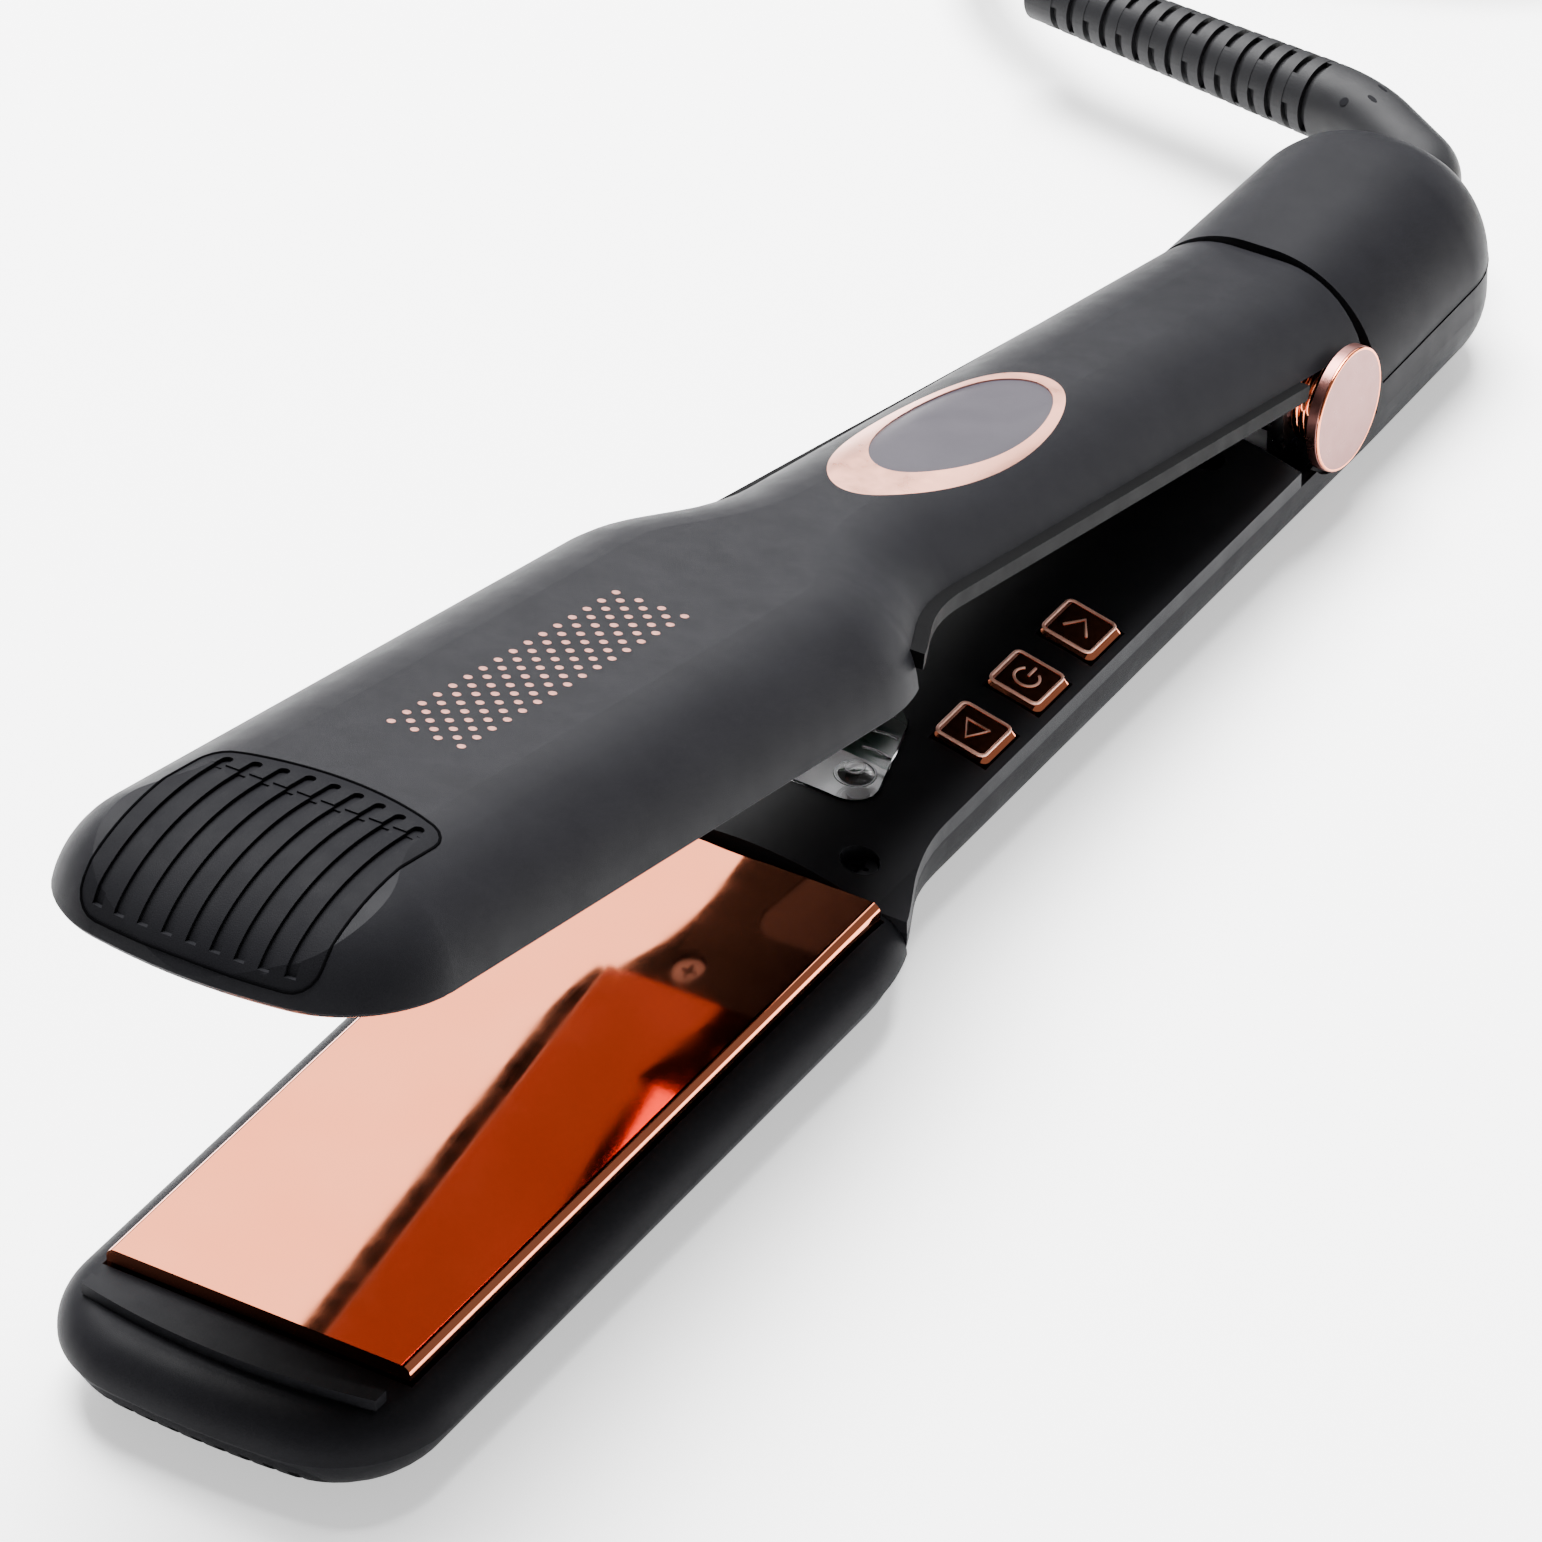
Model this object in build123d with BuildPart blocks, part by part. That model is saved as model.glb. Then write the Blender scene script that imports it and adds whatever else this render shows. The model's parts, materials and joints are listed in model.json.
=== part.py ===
from build123d import *
from math import atan, cos, radians, sin
import os

os.makedirs("parts", exist_ok=True)

# Frame: +Z up from the surface the iron lies on, +Y from the nose to the cord, +X to the key side.
# The upper arm is drawn closed on the lower one, then swung open about the hinge.

# Heating plates
PLATE_WIDTH = 44.5
PLATE_FRONT = -137.0
PLATE_REAR = -29.5
PLATE_THICK = 3.6
PLATE_BEVEL = 1.3
PLATE_TRAVEL = 0.8
CLOSED_GAP = 0.3
MID_Z = 16.0

# Plan view, shared by both arms
NOSE_Y = -152.75
TAIL_Y = 152.75
NOSE_BOW = 2.0
HEAD_HALF = 27.2
HANDLE_HALF = 19.0
TAIL_HALF = 18.2
FLARE_FRONT = -31.5
FLARE_REAR = -14.5
NOSE_CORNER = 16.0
NOSE_CURVE = 140.0
UPPER_NOSE_BOW = 4.3
UPPER_NOSE_CURVE = 80.0
FLARE_CURVE = 30.0
TAIL_CORNER = 16.5
TAIL_CURVE = 120.0

# Side view
WALL = 2.0
NOSE_ROUND_LONG = 26.0
NOSE_ROUND_HIGH = 15.0
UPPER_RIM_NOSE = 17.6
UPPER_RIM_FLARE = 19.0
UPPER_SHOULDER = 1.8
CHIN_REAR = -138.5
CHIN_DROP = 1.8
LOWER_CORNER = 11.0
UPPER_CORNER = 15.0
UPPER_TAIL = 103.6
BACK_Z = 32.4
BACK_SLOPE = 0.53
FRAME_THICK = 1.5
HEAD_RIM = 13.4
SHOULDER = 5.2
LOWER_SEAM = 11.5
LOWER_CROWN = 17.2
UPPER_SEAM = 24.8
UPPER_CROWN = 19.5
CROWN_RADIUS = 56.0
HOUSING_FRONT = -28.2
HOUSING_REAR = 86.0
BARREL_FRONT = 107.4
BARREL_SEAM = 15.5
BARREL_TOP = 32.7
BARREL_CORNER = 17.0

# Hinge
HINGE_Y = 97.5
HINGE_Z = 18.0
OPEN_ANGLE = 12.8
PIN_RADIUS = 2.5
PIN_CLEARANCE = 0.05
CAP_RADII = {1: 9.0, -1: 6.0}
CAP_FACES = {1: 20.0, -1: 18.8}
CAP_THICK = 1.8

# Keys
KEY_X = 13.4
KEY_YS = (8.6, 22.2, 35.8)
KEY_Z = 15.4
KEY_TILT = 14.0
KEY_SIZE = 8.4
KEY_PROUD = 1.1
KEY_TRAVEL = 0.5
KEY_GAP = 0.25

# Display
BEZEL_Y = 19.0
BEZEL_LONG = 25.5
BEZEL_WIDE = 10.2
WINDOW_Y = 22.6
WINDOW_LONG = 19.5
WINDOW_WIDE = 8.2

# Nose grips
GRIP_REAR = -121.4
GRIP_HALF = 17.0
GRIP_DEPTH = 1.2
GRIP_CORNER = 3.5
GRIP_BOW = 4.1
UPPER_GRIP_LOW = 19.2
LOWER_GRIP_HIGH = 7.2
GROOVE_COUNT = 9
GROOVE_PITCH = 3.4
GROOVE_WIDTH = 1.5
GROOVE_DEPTH = 0.6
GROOVE_MARGIN = 1.8
LIP_Y = -145.5
LIP_HEIGHT = 1.6

# Heaters
HEATER_WIDTH = 16.0
HEATER_LONG = 86.0
HEATER_THICK = 2.4
CLAMP_WIDTH = 22.0
CLAMP_LONG = 94.0
CLAMP_THICK = 1.6
CUSHION_SPREAD = 32.0
FUSE_RADIUS = 1.6

# Hinge bracket, knuckles and spring
EAR_INNER = 10.5
EAR_OUTER = 13.0
KNUCKLE_INNER = 3.5
KNUCKLE_OUTER = 10.2
KNUCKLE_RADIUS = 5.5
STRAP_LOW = 25.4
STRAP_THICK = 1.6
SPRING_RADIUS = 3.7
SPRING_WIRE = 0.45
SPRING_PITCH = 1.1
SPRING_TURNS = 5

# Screws
SCREW_HEAD = 2.3
SCREW_SHANK = 1.2
SCREW_SPOTS = ((14.6, -22.0), (-14.6, -22.0), (8.0, 79.0), (-8.0, 79.0))
BARREL_SCREW_SPOTS = ((6.5, 116.0), (-6.5, 116.0))
BOSS_RADIUS = 3.6

# Cord swivel
SWIVEL_Z = 16.8
SWIVEL_RADIUS = 7.2
SOCKET_FRONT = 139.0
SOCKET_REAR = 145.5
SOCKET_RADIUS = 9.6
FLANGE_RADIUS = 9.2
STUB_FRONT = 123.0
STUB_RADIUS = 3.6
SLIP_RING_YS = (126.0, 131.0)
SLIP_RING_RADIUS = 4.6

# Boot
BOOT_BEND_Y = 156.4
BOOT_BEND_RADIUS = 6.4
BOOT_ELBOW = (-16.5, 166.9)
BOOT_ELBOW_RADIUS = 27.0
BOOT_RUN = (-46.0, 6.6, -0.9)
BOOT_RADIUS = 5.8
BOOT_TIP_RADIUS = 4.7
COLLAR_LENGTH = 6.0
RIB_COUNT = 16
RIB_PITCH = 3.1
RIB_WIDTH = 1.9
RIB_DEPTH = 0.9

# Cord, put away in a coil behind the iron
CORD_DIAMETER = 6.5
CORD_RADIUS = CORD_DIAMETER / 2
CORD_INSIDE_BOOT = 2.5
CORD_FIRST_RUN = 80.0
CORD_TURN_Y = 254.0
COIL_X = -59.0
COIL_Y = 275.0
COIL_MIDDLE = 39.0
COIL_LAYERS = 3
TIE_WIDTH = 10.0
TIE_THICK = 1.0
PLUG_ANGLE = -65.0
PLUG_HALF_HEIGHT = 8.0
PLUG_HALF_WIDTH = 12.0
PLUG_LEAD = 46.0
PLUG_NECK = 12.0
PLUG_LONG = 27.0
BLADE_SPACING = 12.7

UPPER_TIP = -154.0
RIM_SLOPE = atan((UPPER_RIM_FLARE - UPPER_RIM_NOSE) / (HOUSING_FRONT - NOSE_Y))
HINGE_AXIS = Axis((0, HINGE_Y, HINGE_Z), (1, 0, 0))
PLATE_MIDDLE = (PLATE_FRONT + PLATE_REAR) / 2
PLATE_LENGTH = PLATE_REAR - PLATE_FRONT
PLATE_TOP = MID_Z - CLOSED_GAP / 2
HEATER_TOP = PLATE_TOP - PLATE_THICK
CLAMP_TOP = HEATER_TOP - HEATER_THICK
CLAMP_LOW = CLAMP_TOP - CLAMP_THICK
BEZEL_LOW = 27.0
COIL_OUTER = COIL_MIDDLE + COIL_LAYERS * CORD_RADIUS
COIL_INNER = COIL_MIDDLE - COIL_LAYERS * CORD_RADIUS
COIL_HEIGHT = COIL_LAYERS * CORD_DIAMETER
LEAD_TURN = COIL_MIDDLE + CORD_DIAMETER


def opened(piece):
    """The upper arm's piece as it stands with the arm swung open."""
    return piece.rotate(HINGE_AXIS, -OPEN_ANGLE)


def save(piece, name):
    """Label one finished piece and write it out."""
    piece.label = name
    export_step(piece, f"parts/{name}.step")


def between(front, rear, low, high, half=40.0):
    """A plain block across the iron, for cutting a stretch out of a form."""
    with BuildPart(mode=Mode.PRIVATE) as block:
        with BuildSketch(Plane.XY.offset(low)):
            with Locations((0, (front + rear) / 2)):
                Rectangle(2 * half, rear - front)
        extrude(amount=high - low)
    return block.part


def arm_plan(inset=0.0, tail_corner=TAIL_CORNER, bow=NOSE_BOW, curve=NOSE_CURVE):
    """Plan view of an arm from nose to tail, drawn in by inset all round."""
    nose_sides = NOSE_Y + NOSE_BOW
    right = [
        (HEAD_HALF, nose_sides),
        (HEAD_HALF, FLARE_FRONT),
        (HANDLE_HALF, FLARE_REAR),
        (HANDLE_HALF, BARREL_FRONT),
        (TAIL_HALF, TAIL_Y),
    ]
    left = [(-x, y) for x, y in reversed(right)]
    with BuildSketch() as plan:
        with BuildLine():
            Polyline((0, nose_sides - bow), *right, *left, close=True)
        make_face()
        corners = plan.vertices()
        fillet(corners.filter_by_position(Axis.Y, FLARE_FRONT - 1, FLARE_REAR + 1), FLARE_CURVE)
        fillet(plan.vertices().sort_by(Axis.Y)[0], curve)
        shoulders = plan.vertices().filter_by_position(Axis.Y, BARREL_FRONT - 0.01, BARREL_FRONT + 0.01)
        fillet(shoulders, TAIL_CURVE)
        nose = plan.vertices().filter_by_position(Axis.Y, nose_sides - 0.01, nose_sides + 0.01)
        fillet(nose, NOSE_CORNER)
        if tail_corner > 0:
            tail_ends = plan.vertices().filter_by_position(Axis.Y, TAIL_Y - 0.01, TAIL_Y + 0.01)
            fillet(tail_ends, tail_corner)
        if inset > 0:
            offset(amount=-inset, mode=Mode.REPLACE)
    return plan.sketch


def lower_form(inset, top):
    """The lower arm as a solid block with its long bottom edges rounded."""
    with BuildPart() as form:
        with BuildSketch(Plane.XY.offset(inset)):
            add(arm_plan(inset))
        extrude(amount=top - inset)
        fillet(form.faces().sort_by(Axis.Z)[0].edges(), LOWER_CORNER - inset)
    return form.part


def upper_plan(inset=0.0):
    """Plan view of the upper arm, whose nose is bowed more than the lower one's."""
    return arm_plan(inset, 0, UPPER_NOSE_BOW, UPPER_NOSE_CURVE)


def back_z(y):
    """Height of the upper arm's sloping back, closed, at a place along the iron."""
    return BACK_Z + y * sin(radians(BACK_SLOPE))


def nose_side(inset):
    """Side view of the upper arm with its long rounded nose, as a block across the iron."""
    tip = UPPER_TIP + inset
    long_radius = NOSE_ROUND_LONG - inset
    high_radius = NOSE_ROUND_HIGH - inset
    centre = (UPPER_TIP + NOSE_ROUND_LONG, back_z(UPPER_TIP) - NOSE_ROUND_HIGH)
    crest = centre[1] + high_radius
    with BuildPart() as block:
        with BuildSketch(Plane.YZ.offset(-40)):
            with BuildLine():
                Line((tip, 0), (tip, centre[1]))
                EllipticalCenterArc(centre, long_radius, high_radius, start_angle=90, arc_size=90)
                Polyline((centre[0], crest), (centre[0], 60), (TAIL_Y, 60), (TAIL_Y, 0), (tip, 0))
            make_face()
        extrude(amount=80)
    return block.part


def upper_form(inset, bottom):
    """The upper arm, closed, as a solid block with a sloping back and rounded top edges."""
    slope = radians(BACK_SLOPE)
    back = Plane(origin=(0, 0, BACK_Z - inset), x_dir=(1, 0, 0), z_dir=(0, -sin(slope), cos(slope)))
    with BuildPart() as form:
        with BuildSketch(back):
            add(upper_plan(inset))
        extrude(amount=-24)
        top_edges = form.faces().sort_by(Axis.Z)[-1].edges().sort_by(Axis.Y)
        fillet(top_edges[:-1], UPPER_CORNER - inset)
        split(bisect_by=Plane.XY.offset(bottom), keep=Keep.TOP)
        split(bisect_by=Plane.XZ.offset(inset - UPPER_TAIL), keep=Keep.TOP)
        add(nose_side(inset), mode=Mode.INTERSECT)
    return form.part


def crowned(seam, crown, shelf, up, inset=0.0):
    """The inner face of a handle: a shallow barrel vault on a flat shelf, with upright sides."""
    with BuildPart() as form:
        with BuildSketch(Plane.XY.offset(seam)):
            add(arm_plan(inset))
            with Locations((0, (HOUSING_FRONT + HOUSING_REAR) / 2)):
                Rectangle(80, HOUSING_REAR - HOUSING_FRONT - 2 * inset, mode=Mode.INTERSECT)
        extrude(amount=9, dir=(0, 0, up))
        with BuildSketch(Plane.XZ.offset(-HOUSING_REAR - 1)):
            with Locations((0, crown - up * CROWN_RADIUS)):
                Circle(CROWN_RADIUS - inset)
            with Locations((0, shelf - up * (10 + inset))):
                Rectangle(80, 20)
        extrude(amount=HOUSING_REAR - HOUSING_FRONT + 2, mode=Mode.INTERSECT)
    return form.part


LOWER_BODY = lower_form(0, BARREL_SEAM)
UPPER_BODY = upper_form(0, MID_Z)


def oval_block(centre_y, long_half, wide_half):
    """An upright oval block that reaches through the upper arm's back."""
    with BuildPart() as block:
        with BuildSketch(Plane.XY.offset(BEZEL_LOW)):
            with Locations((0, centre_y)):
                Ellipse(wide_half, long_half)
        extrude(amount=20)
    return block.part


def upper_at(inset):
    """The upper arm's form, drawn in by inset from the outer surface."""
    return upper_form(inset, MID_Z)


def lower_at(inset):
    """The lower arm's form, drawn in by inset from the outer surface."""
    return lower_form(inset, BARREL_SEAM)


def cap_wells():
    """The round recesses that the hinge caps sit in, one on each side."""
    with BuildPart() as wells:
        for side in (1, -1):
            well_floor = CAP_FACES[side] - CAP_THICK - 0.3
            face = Plane(origin=(side * well_floor, HINGE_Y, HINGE_Z), z_dir=(side, 0, 0))
            with BuildSketch(face):
                Circle(CAP_RADII[side] + 0.6)
            extrude(amount=10)
    return wells.part


def plate_frame_block():
    """The rounded shoulder of the lower head, a flat rim round the heating plate."""
    with BuildPart() as frame:
        with BuildSketch(Plane.XY.offset(HEAD_RIM - SHOULDER)):
            add(arm_plan())
        extrude(amount=SHOULDER)
        fillet(frame.faces().sort_by(Axis.Z)[-1].edges(), SHOULDER - 0.2)
        add(between(HOUSING_FRONT, TAIL_Y + 5, 0, 30), mode=Mode.SUBTRACT)
        with BuildSketch(Plane.XY.offset(HEAD_RIM - SHOULDER)):
            add(arm_plan(WALL))
        extrude(amount=SHOULDER - FRAME_THICK, mode=Mode.SUBTRACT)
        with BuildSketch(Plane.XY.offset(HEAD_RIM - SHOULDER)):
            with Locations((0, PLATE_MIDDLE)):
                Rectangle(PLATE_WIDTH + 0.8, PLATE_LENGTH + 0.8)
        extrude(amount=SHOULDER, mode=Mode.SUBTRACT)
    return frame.part


def rim_plane(lift=0.0):
    """The upper head's rim, closed: it dips a little towards the nose."""
    origin_z = UPPER_RIM_FLARE - HOUSING_FRONT * sin(RIM_SLOPE) + lift
    return Plane(origin=(0, 0, origin_z), x_dir=(1, 0, 0), z_dir=(0, -sin(RIM_SLOPE), cos(RIM_SLOPE)))


def under_rim():
    """All that lies under the upper head's rim, which turns down at the nose, as a block across the iron."""
    rear_z = UPPER_RIM_FLARE + (TAIL_Y - HOUSING_FRONT) * sin(RIM_SLOPE)
    chin_z = UPPER_RIM_FLARE + (CHIN_REAR - HOUSING_FRONT) * sin(RIM_SLOPE)
    with BuildPart() as block:
        with BuildSketch(Plane.YZ.offset(-40)):
            with BuildLine():
                rim = Line((TAIL_Y, rear_z), (CHIN_REAR, chin_z))
                chin = TangentArc(rim @ 1, (UPPER_TIP - 1, UPPER_RIM_NOSE - CHIN_DROP), tangent=rim % 1)
                Polyline(chin @ 1, (UPPER_TIP - 1, -5), (TAIL_Y, -5), rim @ 0)
            make_face()
        extrude(amount=80)
    return block.part


def upper_envelope():
    """All that may belong to the upper shell: above the head's rim and above the handle's seam."""
    with BuildPart() as envelope:
        with BuildSketch(Plane.XY.offset(MID_Z - 6)):
            add(upper_plan())
        extrude(amount=50)
        add(under_rim(), mode=Mode.SUBTRACT)
        rim_faces = envelope.faces().filter_by(lambda face: face.normal_at().Z < -0.5)
        rim_edges = rim_faces.edges().filter_by(lambda edge: abs(edge.center().Y - CHIN_REAR) > 0.5)
        fillet(rim_edges, UPPER_SHOULDER)
        add(between(HOUSING_FRONT, TAIL_Y + 5, 0, UPPER_SEAM), mode=Mode.SUBTRACT)
    return envelope.part


def upper_frame():
    """The flat inner frame of the upper head, let into the shell round the heating plate."""
    with BuildPart() as frame:
        with BuildSketch(rim_plane(0.2)):
            add(upper_plan(WALL))
            with Locations((0, PLATE_MIDDLE)):
                Rectangle(PLATE_WIDTH + 0.8, PLATE_LENGTH + 0.8, mode=Mode.SUBTRACT)
        extrude(amount=FRAME_THICK)
        add(between(HOUSING_FRONT - 0.2, TAIL_Y + 5, 0, 40), mode=Mode.SUBTRACT)
        add(upper_form(WALL, MID_Z - 2), mode=Mode.INTERSECT)
        add(lip(UPPER_RIM_NOSE + 0.4, -1))
    return frame.part


def lip(low, up):
    """The shallow curved ridge on the nose, in front of the plate."""
    with BuildPart() as ridge:
        with BuildSketch(Plane.XY.offset(low)):
            with BuildLine():
                ThreePointArc((-21.5, LIP_Y + 2.2), (0, LIP_Y), (21.5, LIP_Y + 2.2))
                Line((21.5, LIP_Y + 2.2), (21.5, LIP_Y + 4.4))
                ThreePointArc((21.5, LIP_Y + 4.4), (0, LIP_Y + 2.2), (-21.5, LIP_Y + 4.4))
                Line((-21.5, LIP_Y + 4.4), (-21.5, LIP_Y + 2.2))
            make_face()
        extrude(amount=LIP_HEIGHT, dir=(0, 0, up))
    return ridge.part


def grip_block(low, high, rounded_end):
    """A block that cuts out a nose grip: bowed behind, with its two lengthwise edges rounded at one end."""
    side_y = GRIP_REAR - GRIP_BOW
    front_y = NOSE_Y - 10
    with BuildPart() as block:
        with BuildSketch(Plane.XY.offset(low)):
            with BuildLine():
                ThreePointArc((-GRIP_HALF, side_y), (0, GRIP_REAR), (GRIP_HALF, side_y))
                Polyline((GRIP_HALF, side_y), (GRIP_HALF, front_y), (-GRIP_HALF, front_y), (-GRIP_HALF, side_y))
            make_face()
        extrude(amount=high - low)
        fillet(block.edges().filter_by(Axis.Z).sort_by(Axis.Y)[-2:], GRIP_CORNER)
        fillet(block.edges().filter_by(Axis.Y).group_by(Axis.Z)[rounded_end], GRIP_CORNER)
    return block.part


def groove_block(low, high):
    """The lengthwise grooves of a nose grip, as a row of upright slots."""
    with BuildPart() as grooves:
        with BuildSketch(Plane.XY.offset(low)):
            for number in range(GROOVE_COUNT):
                groove_x = (number - (GROOVE_COUNT - 1) / 2) * GROOVE_PITCH
                groove_rear = GRIP_REAR - GROOVE_MARGIN - GRIP_BOW * (groove_x / GRIP_HALF) ** 2
                groove_long = groove_rear - NOSE_Y + 10
                with Locations((groove_x, groove_rear - groove_long / 2)):
                    SlotOverall(groove_long, GROOVE_WIDTH, rotation=90)
        extrude(amount=high - low)
    return grooves.part


def mirrored(piece):
    """The upper arm's twin of a lower piece, still closed."""
    return mirror(piece, about=Plane.XY.offset(MID_Z))


def screw_group(spots, head_low, up, length):
    """Pan-head screws standing at the given spots, their heads on head_low."""
    with BuildPart() as screws:
        seat = Plane(origin=(0, 0, head_low), x_dir=(1, 0, 0), z_dir=(0, 0, up))
        with BuildSketch(seat):
            with Locations(*[(x, y * up) for x, y in spots]):
                Circle(SCREW_HEAD)
        extrude(amount=1.5)
        with BuildSketch(seat):
            with Locations(*[(x, y * up) for x, y in spots]):
                Circle(SCREW_SHANK)
        extrude(amount=-length)
        with BuildSketch(seat.offset(0.8)):
            with Locations(*[(x, y * up) for x, y in spots]):
                Rectangle(2.4, 0.6)
                Rectangle(0.6, 2.4)
        extrude(amount=1, mode=Mode.SUBTRACT)
    return screws.part


def upright(spots, radius, low, high):
    """A group of upright round posts, for bosses and holes."""
    with BuildPart() as posts:
        with BuildSketch(Plane.XY.offset(low)):
            with Locations(*spots):
                Circle(radius)
        extrude(amount=high - low)
    return posts.part


def lens_plan(grow=0.0):
    """The rounded trapezoid of the clear lens, base towards the plate."""
    with BuildSketch() as plan:
        with BuildLine():
            Polyline((-11, -14), (11, -14), (5.2, 6.5), (-5.2, 6.5), close=True)
        make_face()
        fillet(plan.vertices(), 3.8)
        if grow > 0:
            offset(amount=grow, mode=Mode.REPLACE)
    return plan.sketch


def lens_zone(grow, low, high):
    """The lens outline as an upright block."""
    with BuildPart() as block:
        with BuildSketch(Plane.XY.offset(low)):
            add(lens_plan(grow))
        extrude(amount=high - low)
    return block.part


def key_plane(y):
    """The face of one key: it leans with the crown of the housing."""
    lean = radians(KEY_TILT)
    return Plane(origin=(KEY_X, y, KEY_Z), x_dir=(cos(lean), 0, -sin(lean)), z_dir=(sin(lean), 0, cos(lean)))


def key_blocks(size, low, high):
    """One square block on each key's plane."""
    with BuildPart() as blocks:
        for y in KEY_YS:
            with BuildSketch(key_plane(y).offset(low)):
                Rectangle(size, size)
            extrude(amount=high - low)
    return blocks.part


# Shapes shared by several pieces

upper_grip_zone = grip_block(UPPER_GRIP_LOW, 45.0, 0)
lower_grip_zone = grip_block(-13.0, LOWER_GRIP_HIGH, -1)
upper_grooves = groove_block(UPPER_GRIP_LOW + GROOVE_MARGIN, 45.0)
lower_grooves = groove_block(-13.0, LOWER_GRIP_HIGH - GROOVE_MARGIN)
bezel_zone = oval_block(BEZEL_Y, BEZEL_LONG, BEZEL_WIDE)
window_zone = oval_block(WINDOW_Y, WINDOW_LONG, WINDOW_WIDE)

# Lower arm: outer shell, with the lower half of the rear barrel

with BuildPart() as lower_outer_shell:
    add(LOWER_BODY)
    add(lower_form(WALL, BARREL_SEAM), mode=Mode.SUBTRACT)
    add(between(HOUSING_FRONT, BARREL_FRONT, LOWER_SEAM, 30), mode=Mode.SUBTRACT)
    add(between(NOSE_Y - 5, HOUSING_FRONT, HEAD_RIM - SHOULDER, 30), mode=Mode.SUBTRACT)
    add(lower_grip_zone & (LOWER_BODY - lower_at(GRIP_DEPTH)), mode=Mode.SUBTRACT)
    add(between(BARREL_FRONT, BARREL_FRONT + WALL, WALL / 2, BARREL_SEAM) & LOWER_BODY)
    add(upright(BARREL_SCREW_SPOTS, BOSS_RADIUS, WALL / 2, BARREL_SEAM) & LOWER_BODY)
    add(upright(BARREL_SCREW_SPOTS, SCREW_HEAD + 0.2, -1, 2.4), mode=Mode.SUBTRACT)
    add(upright(BARREL_SCREW_SPOTS, SCREW_SHANK, 2, BARREL_SEAM + 1), mode=Mode.SUBTRACT)
    add(cap_wells(), mode=Mode.SUBTRACT)
    with BuildSketch(Plane.XZ.offset(-TAIL_Y - 5)):
        with Locations((0, SWIVEL_Z)):
            Circle(SWIVEL_RADIUS + 0.4)
    extrude(amount=20, mode=Mode.SUBTRACT)
save(lower_outer_shell.part, "lower_outer_shell")

with BuildPart() as lower_nose_grip:
    add(lower_grip_zone & (LOWER_BODY - lower_at(GRIP_DEPTH)))
    add(lower_grooves & (LOWER_BODY - lower_at(GROOVE_DEPTH)), mode=Mode.SUBTRACT)
save(lower_nose_grip.part, "lower_nose_grip")

with BuildPart() as lower_plate_frame:
    add(plate_frame_block())
    add(lip(HEAD_RIM, 1))
save(lower_plate_frame.part, "lower_plate_frame")

# Upper arm: outer shell

with BuildPart() as upper_outer_shell:
    add(UPPER_BODY)
    add(upper_envelope(), mode=Mode.INTERSECT)
    add(upper_form(WALL, MID_Z), mode=Mode.SUBTRACT)
    add(upper_grip_zone & (UPPER_BODY - upper_at(GRIP_DEPTH)), mode=Mode.SUBTRACT)
    add(bezel_zone, mode=Mode.SUBTRACT)
    add(cap_wells(), mode=Mode.SUBTRACT)
save(opened(upper_outer_shell.part), "upper_outer_shell")

with BuildPart() as upper_nose_grip:
    add(upper_grip_zone & (UPPER_BODY - upper_at(GRIP_DEPTH)))
    add(upper_grooves & (UPPER_BODY - upper_at(GROOVE_DEPTH)), mode=Mode.SUBTRACT)
save(opened(upper_nose_grip.part), "upper_nose_grip")

save(opened(upper_frame()), "upper_plate_frame")

with BuildPart() as display_bezel:
    add(bezel_zone & (upper_at(0) - upper_at(WALL)))
    add(window_zone, mode=Mode.SUBTRACT)
save(opened(display_bezel.part), "display_bezel")

with BuildPart() as display_window:
    add(window_zone & (upper_at(0.2) - upper_at(WALL)))
save(opened(display_window.part), "display_window")


# Inner housings

with BuildPart() as lower_inner_housing:
    add(crowned(LOWER_SEAM, LOWER_CROWN, HEAD_RIM, 1))
    add(crowned(LOWER_SEAM - 1, LOWER_CROWN, HEAD_RIM, 1, WALL), mode=Mode.SUBTRACT)
    add(upright(SCREW_SPOTS, BOSS_RADIUS, 9.0, 14.0) & crowned(9.0, LOWER_CROWN, HEAD_RIM, 1, 0.5))
    add(upright(SCREW_SPOTS, SCREW_HEAD + 0.3, 12.5, 20), mode=Mode.SUBTRACT)
    add(upright(SCREW_SPOTS, SCREW_SHANK, 5, 20), mode=Mode.SUBTRACT)
    add(key_blocks(KEY_SIZE + 2 * KEY_GAP, -4, 4), mode=Mode.SUBTRACT)
    add(lens_zone(0.15, 10, 20), mode=Mode.SUBTRACT)
    add(cap_wells(), mode=Mode.SUBTRACT)
save(lower_inner_housing.part, "lower_inner_housing")

with BuildPart() as upper_inner_housing:
    add(crowned(UPPER_SEAM, UPPER_CROWN, 22.6, -1))
    add(crowned(UPPER_SEAM + 1, UPPER_CROWN, 22.6, -1, WALL), mode=Mode.SUBTRACT)
    add(upright(SCREW_SPOTS, BOSS_RADIUS, 21.5, STRAP_LOW) & upper_at(WALL + 0.2))
    add(upright(SCREW_SPOTS, SCREW_HEAD + 0.3, 15, 23.6), mode=Mode.SUBTRACT)
    add(upright(SCREW_SPOTS, SCREW_SHANK, 15, 30), mode=Mode.SUBTRACT)
    add(lens_zone(0.15, 15, 30), mode=Mode.SUBTRACT)
    add(cap_wells(), mode=Mode.SUBTRACT)
save(opened(upper_inner_housing.part), "upper_inner_housing")

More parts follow.
